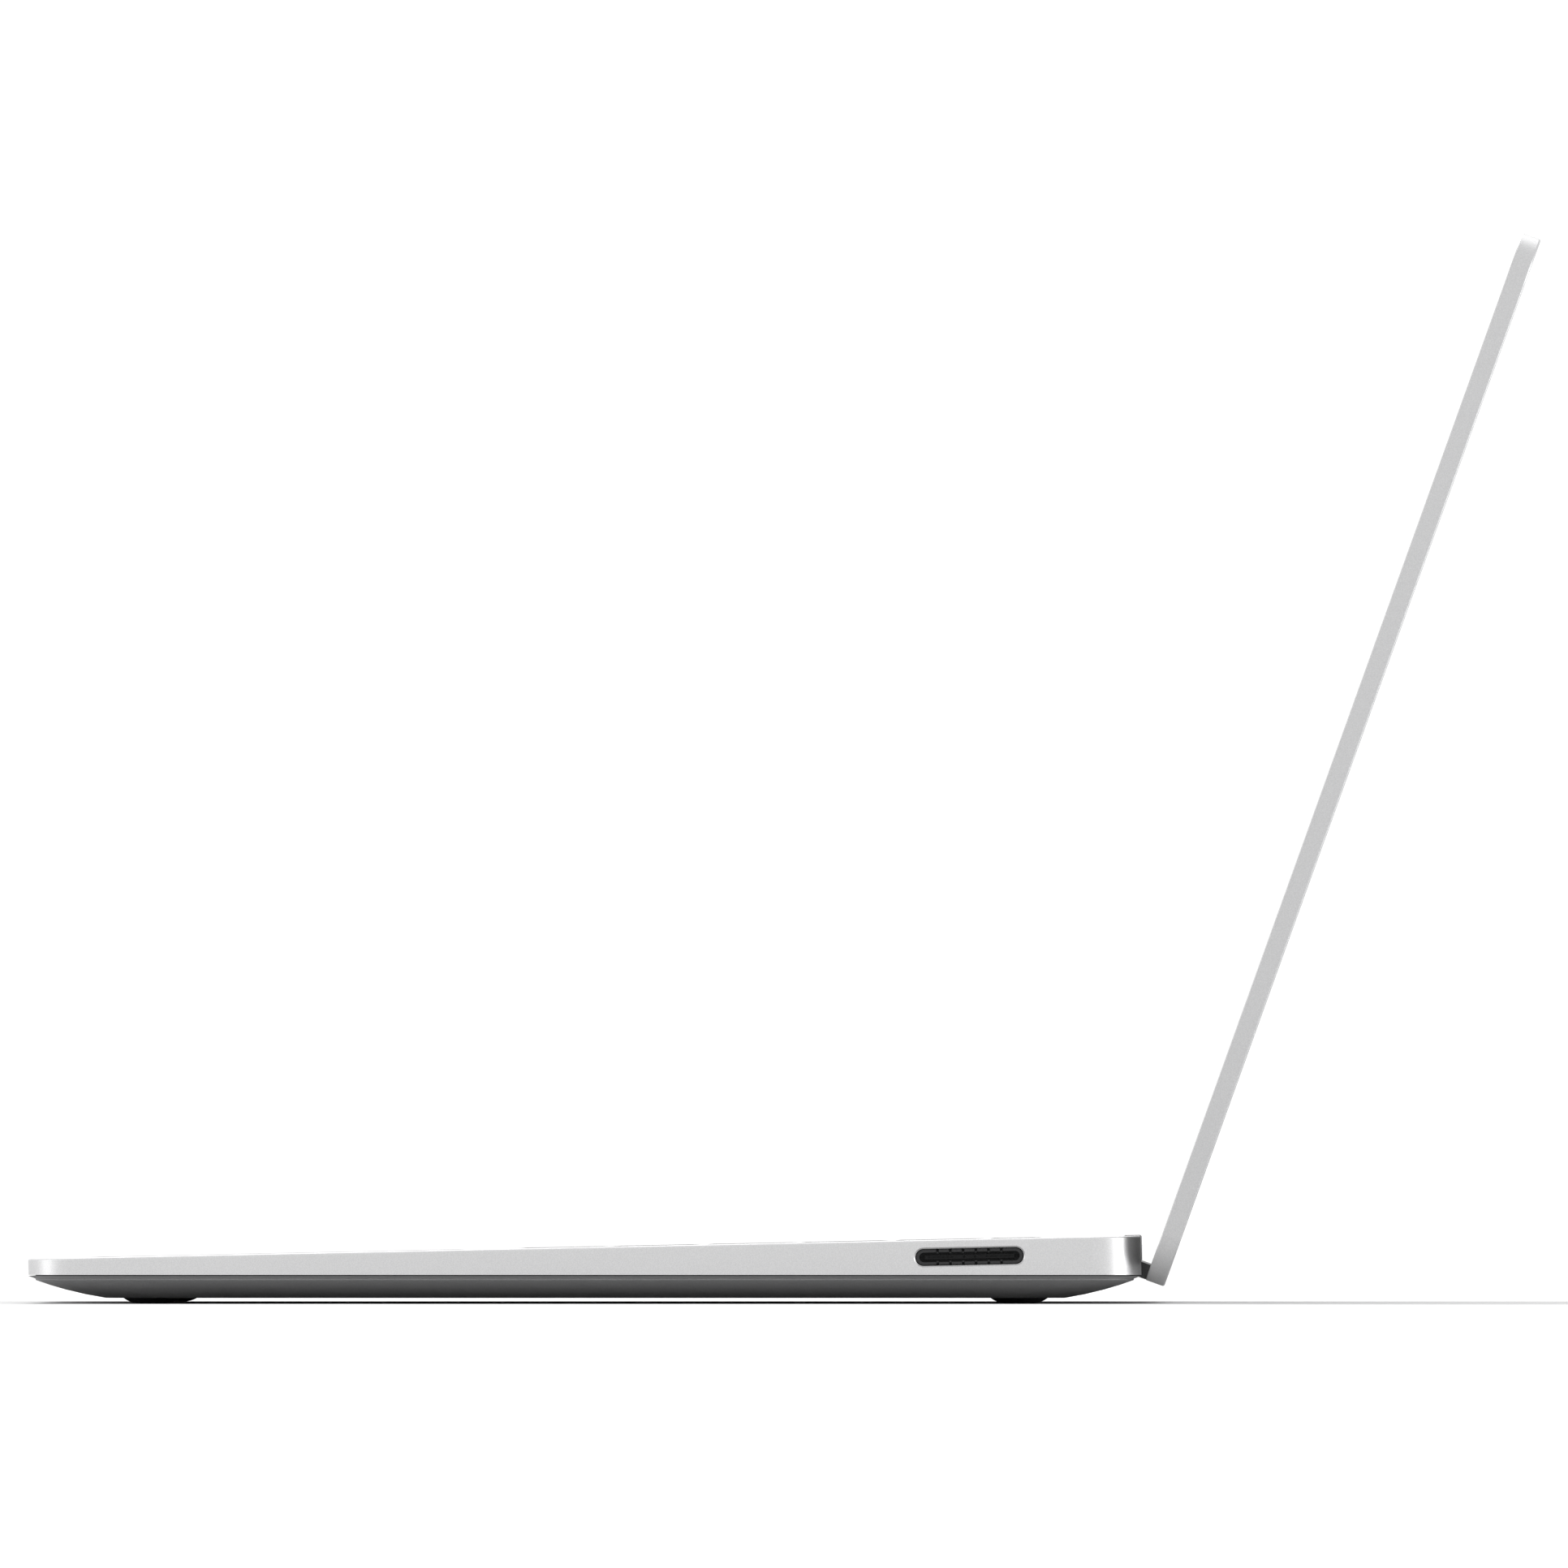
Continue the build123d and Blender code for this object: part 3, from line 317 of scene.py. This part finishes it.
KEYLESS = ("base", "lid", "trackpad", "fan")
for node in frame["record"]["behaviour"]["bodies"]:
    if node in KEYLESS:
        continue
    mesh = bmesh.new()
    for place in key_places(node):
        add_cap(mesh, *place)
    caps = make_piece(f"{node}_caps", mesh, key_plastic)
    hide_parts(node)
    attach(caps, node)
    paint(key_plastic, node)


# ---- Homing bars ----
# A short raised bar near the front of the F and J caps, so that the forefingers find their places. Each is
# moulded in one with its cap, in the same plastic.
BAR_LENGTH = 3.2 * MM
BAR_WIDTH = 0.5 * MM
BAR_RISE = 0.16 * MM
BAR_AHEAD = 4.6 * MM
HOMING_KEYS = (3, 6)

mesh = bmesh.new()
for index in HOMING_KEYS:
    centre = key_places("keys_home_row")[index][0]
    rings = []
    for inset, height in ((0.0, -DISH), (0.0, BAR_RISE * 0.5 - DISH), (0.12 * MM, BAR_RISE - DISH)):
        size = BAR_LENGTH - 2 * inset, BAR_WIDTH - 2 * inset
        rings.append([(x, y - BAR_AHEAD, height + KEY_HEIGHT / 2) for x, y in rounded_ring(*size, 0.12 * MM)])
    stack(mesh, rings, lambda x, y, z: deck_point(centre, x, y, z))
bars = make_piece("homing_bars", mesh, key_plastic)
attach(bars, "keys_home_row")


# ---- Key legends ----
# The usual letters, numbers and key names, printed in dark ink. The ink lies in a thin film in the middle of
# each cap's dish.
legend_ink, shader = new_finish("legend_ink", roughness=0.45, specular=0.35)
tint(legend_ink, shader, grain(legend_ink, 0.2 * MM), (0.055, 0.055, 0.058), (0.085, 0.085, 0.088))
spread(legend_ink, grain(legend_ink, 0.5 * MM), shader.inputs["Roughness"], 0.4, 0.55)

LETTER_SIZE = 4.3 * MM
WORD_SIZE = 2.8 * MM
INK = 0.012 * MM
LEGENDS = {
    "keys_function_row": ["esc"] + [f"F{number}" for number in range(1, 13)] + ["del"],
    "keys_number_row": list("`1234567890-="),
    "keys_upper_row": list("QWERTYUIOP[]\\"),
    "keys_home_row": list("ASDFGHJKL;'"),
    "keys_lower_row": list("ZXCVBNM,./"),
    "keys_modifier": ["ctrl", "fn", "home", "alt", "alt", "end"],
    "keys_arrow": ["<", ">", "^", "v"],
    "backspace_key": ["back"],
    "tab_key": ["tab"],
    "caps_lock_key": ["caps"],
    "enter_key": ["enter"],
    "left_shift_key": ["shift"],
    "right_shift_key": ["shift"],
}


def add_text(mesh, words, size, centre):
    """Letters laid flat on the deck's slope, centred on a point."""
    curve = bpy.data.curves.new("legend", "FONT")
    curve.body = words
    curve.size = size
    curve.extrude = INK / 2
    curve.resolution_u = 3
    curve.align_x = "CENTER"
    curve.align_y = "CENTER"
    holder = bpy.data.objects.new("legend", curve)
    bpy.context.scene.collection.objects.link(holder)
    letters = bpy.data.meshes.new_from_object(holder)
    letters.transform(Matrix.Translation(centre) @ DECK_TURN.to_4x4())
    mesh.from_mesh(letters)
    bpy.data.objects.remove(holder)
    bpy.data.curves.remove(curve)
    bpy.data.meshes.remove(letters)


for node, words in LEGENDS.items():
    mesh = bmesh.new()
    for (centre, width, depth), word in zip(key_places(node), words):
        size = LETTER_SIZE if len(word) == 1 else WORD_SIZE
        add_text(mesh, word, size, centre + DECK_UP * (KEY_HEIGHT / 2 - DISH + INK / 2))
    bmesh.ops.remove_doubles(mesh, verts=mesh.verts, dist=1e-7)
    legends = make_piece(f"{node}_legends", mesh, legend_ink)
    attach(legends, node)


# ---- Power mark ----
# The usual sign on the power key, an open ring with a bar in its gap, printed in the same ink as the
# other keys' letters.
MARK_RADIUS = 1.15 * MM
MARK_LINE = 0.28 * MM
MARK_GAP = 70
MARK_STEPS = 30


def add_ribbon(mesh, centre, line):
    """A flat ribbon of ink along a line of points, with square ends."""
    rings = []
    for index, point in enumerate(line):
        before, after = line[max(index - 1, 0)], line[min(index + 1, len(line) - 1)]
        way = (after - before).normalized() * MARK_LINE / 2
        side = Vector((-way.y, way.x, 0))
        corners = (side, side + Vector((0, 0, INK)), Vector((0, 0, INK)) - side, -side)
        rings.append([tuple(point + corner) for corner in corners])
    stack(mesh, rings, lambda x, y, z: deck_point(centre, x, y, z))


mesh = bmesh.new()
centre = key_places("power_key")[0][0] + DECK_UP * (KEY_HEIGHT / 2 - DISH)
turns = []
for step in range(MARK_STEPS + 1):
    turns.append(math.radians(90 + MARK_GAP / 2 + (360 - MARK_GAP) * step / MARK_STEPS))
add_ribbon(mesh, centre, [Vector((math.cos(turn), math.sin(turn), 0)) * MARK_RADIUS for turn in turns])
add_ribbon(mesh, centre, [Vector((0, reach, 0)) * MARK_RADIUS for reach in (0.25, 1.2)])
mark = make_piece("power_mark", mesh, legend_ink)
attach(mark, "power_key")


# ---- Trackpad ----
# A plate of etched glass, coloured to match the case and glued to its circuit board. It hangs on a frame of
# spring steel and presses down at the front.
pad_glass, shader = new_finish("pad_glass", roughness=0.4, specular=0.5)
tint(pad_glass, shader, grain(pad_glass, 0.3 * MM), (0.50, 0.50, 0.505), (0.54, 0.54, 0.545))
spread(pad_glass, grain(pad_glass, 22 * MM, 4), shader.inputs["Roughness"], 0.33, 0.46)
paint(pad_glass, "trackpad_glass")


# ---- Circuit boards ----
# Glass-fibre boards under green solder mask, with moulded chips soldered to their faces. The main board lies
# behind the batteries, with the storage and radio cards under it.
circuit_board, shader = new_finish("circuit_board", roughness=0.4, specular=0.5)
tracks = grain(circuit_board, 1.6 * MM, stretch=(1, 0.35, 1), cells=True)
tint(circuit_board, shader, tracks, (0.012, 0.06, 0.035), (0.03, 0.13, 0.07), 0.1, 0.7)
relief(circuit_board, shader, tracks, 0.03 * MM, 0.5)
paint(circuit_board, "mainboard", "storage_module", "wireless_module", "trackpad_board")

chip_package, shader = new_finish("chip_package", roughness=0.6, specular=0.35)
tint(chip_package, shader, grain(chip_package, 0.4 * MM), (0.02, 0.02, 0.021), (0.042, 0.042, 0.044))
relief(chip_package, shader, grain(chip_package, 0.2 * MM), 0.01 * MM, 0.4)
paint(chip_package, "processor", "camera_module")


# ---- Cooling ----
# A flattened copper heat pipe and a stack of thin copper fins, with a moulded fan that blows out through the
# slots behind the keyboard.
copper, shader = new_finish("copper", metallic=1.0, roughness=0.35)
tint(copper, shader, grain(copper, 4 * MM, 4), (0.52, 0.24, 0.13), (0.78, 0.44, 0.29))
spread(copper, grain(copper, 1 * MM, 3), shader.inputs["Roughness"], 0.28, 0.46)
paint(copper, "heat_pipe", "heat_fins")

fan_plastic, shader = new_finish("fan_plastic", roughness=0.55, specular=0.35)
tint(fan_plastic, shader, grain(fan_plastic, 0.4 * MM), (0.018, 0.018, 0.019), (0.038, 0.038, 0.04))
relief(fan_plastic, shader, grain(fan_plastic, 0.25 * MM), 0.015 * MM, 0.4)
paint(fan_plastic, "fan_housing", "fan_rotor", "speaker_left", "speaker_right")


# ---- Batteries ----
# Pouch cells in dark laminated foil, a little wrinkled. Two lie on each side, in the palm rest and under the
# near rows of keys, joined by a thin tray.
battery_foil, shader = new_finish("battery_foil", metallic=0.6, roughness=0.45)
tint(battery_foil, shader, grain(battery_foil, 8 * MM, 4), (0.035, 0.035, 0.038), (0.075, 0.075, 0.08))
relief(battery_foil, shader, grain(battery_foil, 6 * MM, 4), 0.15 * MM, 0.5)
paint(battery_foil, "battery_left", "battery_right")


# ---- Charging socket ----
# A round-ended magnetic socket in the right wall: a moulded ring with six notches above and below, a sunken
# floor, and a tongue with spring pins.
port_plastic, shader = new_finish("port_plastic", roughness=0.5, specular=0.22)
tint(port_plastic, shader, grain(port_plastic, 0.2 * MM), (0.020, 0.020, 0.021), (0.034, 0.034, 0.035))
relief(port_plastic, shader, grain(port_plastic, 0.15 * MM), 0.01 * MM, 0.4)
paint(port_plastic, "charge_port_shell", "audio_jack")

# The tongue is black plastic, coloured darker still: painted shade for its place down in the sunken socket
contact_plastic, shader = new_finish("contact_plastic", roughness=0.5, specular=0.15)
fine = grain(contact_plastic, 0.2 * MM)
tint(contact_plastic, shader, fine, (0.004, 0.004, 0.0045), (0.010, 0.010, 0.0105))
spread(contact_plastic, grain(contact_plastic, 0.3 * MM), shader.inputs["Roughness"], 0.28, 0.44)
paint(contact_plastic, "charge_port_contacts")


# ---- Data sockets ----
# Two sockets in the left wall, one wide and one small. Each is a steel shell, pressed from thin sheet and
# plated, that stands just inside its opening in the wall.
port_steel, shader = new_finish("port_steel", metallic=1.0, roughness=0.3)
tint(port_steel, shader, grain(port_steel, 0.3 * MM, 3, (0.1, 1, 1)), (0.42, 0.42, 0.43), (0.6, 0.6, 0.6))
spread(port_steel, grain(port_steel, 1 * MM, 3), shader.inputs["Roughness"], 0.24, 0.38)
paint(port_steel, "usb_a_socket", "usb_c_socket")


# ---- Socket tongues ----
# Inside each shell stands a moulded tongue with gold-plated contacts: four strips under the wide one, and
# twelve on each face of the small one.
STRIP = 0.1 * MM
SLEEVE = 0.02 * MM

contact_gold, shader = new_finish("contact_gold", metallic=1.0, roughness=0.25)
tint(contact_gold, shader, grain(contact_gold, 0.3 * MM, 3), (0.62, 0.42, 0.14), (0.80, 0.58, 0.24))
spread(contact_gold, grain(contact_gold, 0.2 * MM, 2), shader.inputs["Roughness"], 0.2, 0.34)


def add_bar(mesh, place, size):
    """A small square-edged bar lying along X, parallel to the deck, from its outer end's middle inwards."""
    corners = [(y * size[1] / 2, z * size[2] / 2) for y, z in ((-1, -1), (1, -1), (1, 1), (-1, 1))]
    rings = [[(x, y, z) for y, z in corners] for x in (0, size[0])]
    stack(mesh, rings, lambda x, y, z: deck_point(place, x, y, z))


def fit_tongue(socket, ahead, up, size, strips):
    """Covers a socket's tongue in plastic and lays its contact strips on the faces given."""
    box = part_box(socket)
    mouth = Vector((box[0].x + ahead, middle(box).y, middle(box).z)) + DECK_UP * up
    mesh = bmesh.new()
    add_bar(mesh, mouth - Vector((SLEEVE, 0, 0)), [side + 2 * SLEEVE for side in size])
    tongue = make_piece(socket.replace("socket", "tongue"), mesh, port_plastic, smooth_angle=20)
    mesh = bmesh.new()
    for face, y, length, width in strips:
        level = DECK_UP * face * (size[2] / 2 + SLEEVE)
        place = mouth + Vector((0.4 * MM, 0, 0)) + DECK_BACK * y + level
        add_bar(mesh, place, (length, width, STRIP))
    contacts = make_piece(socket.replace("socket", "contacts"), mesh, contact_gold, smooth_angle=20)
    for piece, slot in ((tongue, "port_plastic"), (contacts, "port_steel")):
        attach(piece, "base")


wide_strips = [(-1, y * MM, 7.4 * MM, 1.0 * MM) for y in (-3.5, -1.0, 1.0, 3.5)]
fit_tongue("usb_a_socket", 2.2 * MM, 1.0 * MM, (8.7 * MM, 11.1 * MM, 1.4 * MM), wide_strips)
small_strips = []
for face in (-1, 1):
    small_strips += [(face, (index - 5.5) * 0.48 * MM, 3.6 * MM, 0.26 * MM) for index in range(12)]
fit_tongue("usb_c_socket", 1.7 * MM, 0.0, (6.3 * MM, 6.2 * MM, 0.7 * MM), small_strips)


# ---- Hinges ----
# Steel brackets screwed under the deck grip a ground shaft on each side, and a bent steel leaf on each shaft
# carries the lid. A dark moulded bar along the lid's lower edge hides them.
shaft_steel, shader = new_finish("shaft_steel", metallic=1.0, roughness=0.2)
ground = grain(shaft_steel, 0.15 * MM, 3, (1, 0.1, 0.1))
tint(shaft_steel, shader, ground, (0.45, 0.45, 0.46), (0.6, 0.6, 0.61))
spread(shaft_steel, grain(shaft_steel, 0.4 * MM, 3), shader.inputs["Roughness"], 0.15, 0.28)
paint(shaft_steel, "hinge_shaft_left", "hinge_shaft_right")
for side in ("left", "right"):
    paint(plate_steel, f"hinge_bracket_{side}", f"hinge_leaf_{side}")

hinge_plastic, shader = new_finish("hinge_plastic", roughness=0.45, specular=0.4)
tint(hinge_plastic, shader, grain(hinge_plastic, 0.3 * MM), (0.075, 0.075, 0.078), (0.105, 0.105, 0.109))
relief(hinge_plastic, shader, grain(hinge_plastic, 0.2 * MM), 0.012 * MM, 0.4)
paint(hinge_plastic, "hinge_bar")


# ---- Display ----
# The panel lies in the lid's tray behind one sheet of glass, which is printed black round the picture and
# sealed to the rim by a soft gasket.
LID_ANGLE = next(j["range_deg"][1] for j in frame["joints"] if j["name"] == "lid_hinge")
LEAN = math.radians(LID_ANGLE - 90) - SLOPE
LID_UP = Vector((0, math.sin(LEAN), math.cos(LEAN)))
LID_OUT = Vector((0, -math.cos(LEAN), math.sin(LEAN)))
LID_TURN = Matrix((Vector((1, 0, 0)), LID_UP, LID_OUT)).transposed()
GLASS_THICK = 0.7 * MM
GLASS_CORNER = 7.3 * MM
PICTURE_HALF = 131.0 * MM
PICTURE_BELOW_TOP = 9.3 * MM
PICTURE_ABOVE_FOOT = 16.0 * MM
FLAT_MARGIN = 0.5 * MM
GLASS_BEVEL = 0.12 * MM

# The lid takes the case's anodised aluminium in darker tones: painted shade, as the lid's side is less lit than
# the base's
paint(anodised("shaded_lid_aluminium", (0.480, 0.480, 0.484), (0.545, 0.545, 0.548)), "lid_shell")

gasket_rubber, shader = new_finish("gasket_rubber", roughness=0.75, specular=0.25)
tint(gasket_rubber, shader, grain(gasket_rubber, 0.5 * MM), (0.010, 0.010, 0.011), (0.022, 0.022, 0.023))
spread(gasket_rubber, grain(gasket_rubber, 2 * MM), shader.inputs["Roughness"], 0.65, 0.85)
paint(gasket_rubber, "display_gasket")

panel_black, shader = new_finish("panel_black", roughness=0.25)
tint(panel_black, shader, grain(panel_black, 0.2 * MM), (0.011, 0.011, 0.013), (0.017, 0.017, 0.020))
spread(panel_black, grain(panel_black, 40 * MM, 3), shader.inputs["Roughness"], 0.06, 0.13)
paint(panel_black, "display_panel")

bezel_black, shader = new_finish("bezel_black", roughness=0.1)
tint(bezel_black, shader, grain(bezel_black, 0.4 * MM), (0.003, 0.003, 0.0035), (0.006, 0.006, 0.0065))
spread(bezel_black, grain(bezel_black, 40 * MM, 3), shader.inputs["Roughness"], 0.06, 0.12)
paint(bezel_black, "display_glass")

glass_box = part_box("display_glass")
glass_middle = middle(glass_box)
glass_width = glass_box[1].x - glass_box[0].x
glass_height = (glass_box[1].z - glass_box[0].z - GLASS_THICK * math.sin(LEAN)) / math.cos(LEAN)
mesh = bmesh.new()
sections = [(0.0, -GLASS_THICK / 2), (0.0, GLASS_THICK / 2 - GLASS_BEVEL), (GLASS_BEVEL, GLASS_THICK / 2)]
rings = []
for inset, height in sections:
    size = glass_width - 2 * inset, glass_height - 2 * inset
    rings.append([(x, y, height) for x, y in rounded_ring(*size, GLASS_CORNER - inset, steps=12)])
front = stack(mesh, rings, lambda x, y, z: glass_middle + LID_TURN @ Vector((x, y, z)))
bmesh.ops.inset_individual(mesh, faces=[front], thickness=FLAT_MARGIN)
picture = [
    (PICTURE_HALF, glass_height / 2 - PICTURE_BELOW_TOP),
    (-PICTURE_HALF, glass_height / 2 - PICTURE_BELOW_TOP),
    (-PICTURE_HALF, -glass_height / 2 + PICTURE_ABOVE_FOOT),
    (PICTURE_HALF, -glass_height / 2 + PICTURE_ABOVE_FOOT),
]
rim = list(front.verts)
corners = [mesh.verts.new(glass_middle + LID_TURN @ Vector((x, y, GLASS_THICK / 2))) for x, y in picture]
bmesh.ops.delete(mesh, geom=[front], context="FACES_ONLY")
quarter = len(rim) // 4
for side in range(4):
    fan = rim[side * quarter : (side + 1) * quarter]
    for first, second in zip(fan, fan[1:]):
        mesh.faces.new((corners[side], first, second))
    after = (side + 1) % 4
    mesh.faces.new((corners[side], fan[-1], rim[(side + 1) * quarter % len(rim)], corners[after]))
mesh.faces.new(corners).material_index = 1
glass = make_piece("display_cover_glass", mesh, bezel_black, panel_black)
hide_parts("display_glass")
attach(glass, "lid")


# ---- Camera window ----
# A clear round window in the glass's black print, over the camera's lens, with a smaller one for its light.
# Both are spots that the print leaves open.
window_glass, shader = new_finish("window_glass", roughness=0.05)
tint(window_glass, shader, grain(window_glass, 1.2 * MM, 2), (0.004, 0.005, 0.010), (0.012, 0.016, 0.034))
spread(window_glass, grain(window_glass, 0.6 * MM, 2), shader.inputs["Roughness"], 0.03, 0.07)

LENS_BELOW_TOP = 4.4 * MM
LENS_RADIUS = 1.5 * MM
LIGHT_RADIUS = 0.45 * MM
LIGHT_ASIDE = 6.0 * MM
WINDOW_SIDES = 40

mesh = bmesh.new()
top_middle = glass_middle + LID_UP * (glass_height / 2 - LENS_BELOW_TOP) + LID_OUT * GLASS_THICK / 2
turns = [math.radians(360 * step / WINDOW_SIDES) for step in range(WINDOW_SIDES)]
for across, radius in ((0.0, LENS_RADIUS), (LIGHT_ASIDE, LIGHT_RADIUS)):
    rings = []
    for size, height in ((radius, 0.0), (radius, 0.01 * MM), (radius * 0.8, 0.02 * MM)):
        rings.append([(across + size * math.cos(turn), size * math.sin(turn), height) for turn in turns])
    stack(mesh, rings, lambda x, y, z: top_middle + LID_TURN @ Vector((x, y, z)))
window = make_piece("camera_window", mesh, window_glass)
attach(window, "lid")


# ---- Lid fittings ----
# Behind the glass lie plated magnets, which hold the lid shut, and a flat printed cable of copper tracks in
# amber film, from the barrel to the panel.
magnet, shader = new_finish("magnet", metallic=1.0, roughness=0.3)
tint(magnet, shader, grain(magnet, 1.5 * MM, 3), (0.42, 0.42, 0.43), (0.58, 0.58, 0.58))
spread(magnet, grain(magnet, 0.5 * MM, 3), shader.inputs["Roughness"], 0.24, 0.4)
paint(magnet, "lid_magnets")

cable_film, shader = new_finish("cable_film", roughness=0.35)
tracks = grain(cable_film, 0.5 * MM, 1, (1, 0.02, 0.02))
tint(cable_film, shader, tracks, (0.20, 0.09, 0.02), (0.36, 0.19, 0.05), 0.42, 0.58)
paint(cable_film, "display_cable")


# ---- Table, light and camera ----
# A pale table with a darker round pool of painted shade under the laptop, a white room and soft panels of light,
# with the camera level with the deck and looking square at the right side.
TABLE_HALF = 14.0
TABLE_THICK = 0.02
# Radius in metres of the painted shade: the table's colour goes from pale out here to grey under the laptop
SHADE_POOL_RADIUS = 0.9
table_paint_and_painted_shade, shader = new_finish("table_paint_and_painted_shade", roughness=0.6, specular=0.2)
tree = table_paint_and_painted_shade.node_tree
place = tree.nodes.new("ShaderNodeTexCoord")
scale = tree.nodes.new("ShaderNodeMapping")
scale.inputs["Scale"].default_value = (1 / SHADE_POOL_RADIUS, 1 / SHADE_POOL_RADIUS, 1 / SHADE_POOL_RADIUS)
tree.links.new(place.outputs["Object"], scale.inputs["Vector"])
painted_shade_pool = tree.nodes.new("ShaderNodeTexGradient")
painted_shade_pool.gradient_type = "SPHERICAL"
tree.links.new(scale.outputs["Vector"], painted_shade_pool.inputs["Vector"])
# Painted shade: the table is coloured grey at the middle and pale towards the edge, in place of a shadow pool
# round the laptop
tint(table_paint_and_painted_shade, shader, painted_shade_pool.outputs["Fac"], (0.95, 0.95, 0.95), (0.6, 0.6, 0.6), 0.0, 0.9)
relief(table_paint_and_painted_shade, shader, grain(table_paint_and_painted_shade, 1.5 * MM, 3), 0.02 * MM, 0.3)
mesh = bmesh.new()
rings = []
for height in (-TABLE_THICK, 0.0):
    rings.append([(x, y, height) for x, y in rounded_ring(2 * TABLE_HALF, 2 * TABLE_HALF, 0.05)])
stack(mesh, rings, lambda x, y, z: Vector((x, y, z)))
make_piece("table", mesh, table_paint_and_painted_shade)

world = bpy.data.worlds.new("white_room")
bpy.context.scene.world = world
world.use_nodes = True
room = world.node_tree.nodes["Background"]
room.inputs["Color"].default_value = (1, 1, 1, 1)
room.inputs["Strength"].default_value = 1.08


def soft_panel(name, place, target, size, power):
    """A flat panel of even light, aimed at a point."""
    light = bpy.data.lights.new(name, "AREA")
    light.shape = "RECTANGLE"
    light.size, light.size_y = size
    light.energy = power
    panel = bpy.data.objects.new(name, light)
    panel.location = place
    panel.rotation_euler = (Vector(target) - Vector(place)).to_track_quat("-Z", "Y").to_euler()
    panel.visible_camera = False
    bpy.context.scene.collection.objects.link(panel)


soft_panel("front_light", (0.55, -1.7, 0.25), (0.1, -0.1, 0.02), (0.7, 0.8), 6)
soft_panel("rear_light", (0.62, 1.48, 0.2), (0.13, 0.06, 0.01), (0.4, 0.8), 12)
soft_panel("top_light", (-0.95, -0.1, 1.5), (0, 0, 0), (1.4, 1.4), 14)

FRAME_WIDTH = 0.2897
right_side = cad_box[1].x
AIM = Vector((right_side, 0.0, 0.09605))
LENS = 1450.0
SENSOR = 36.0
DISTANCE = FRAME_WIDTH * LENS / SENSOR
EYE_HEIGHT = 0.020
EYE_BACK = 0.0755
camera_data = bpy.data.cameras.new("camera")
camera_data.sensor_width = SENSOR
camera_data.lens = LENS
camera_data.clip_end = 100
camera = bpy.data.objects.new("camera", camera_data)
camera.location = (right_side + DISTANCE, EYE_BACK, EYE_HEIGHT)
camera.rotation_euler = (AIM - camera.location).to_track_quat("-Z", "Y").to_euler()
bpy.context.scene.collection.objects.link(camera)
bpy.context.scene.camera = camera
bpy.context.scene.view_settings.view_transform = "Standard"
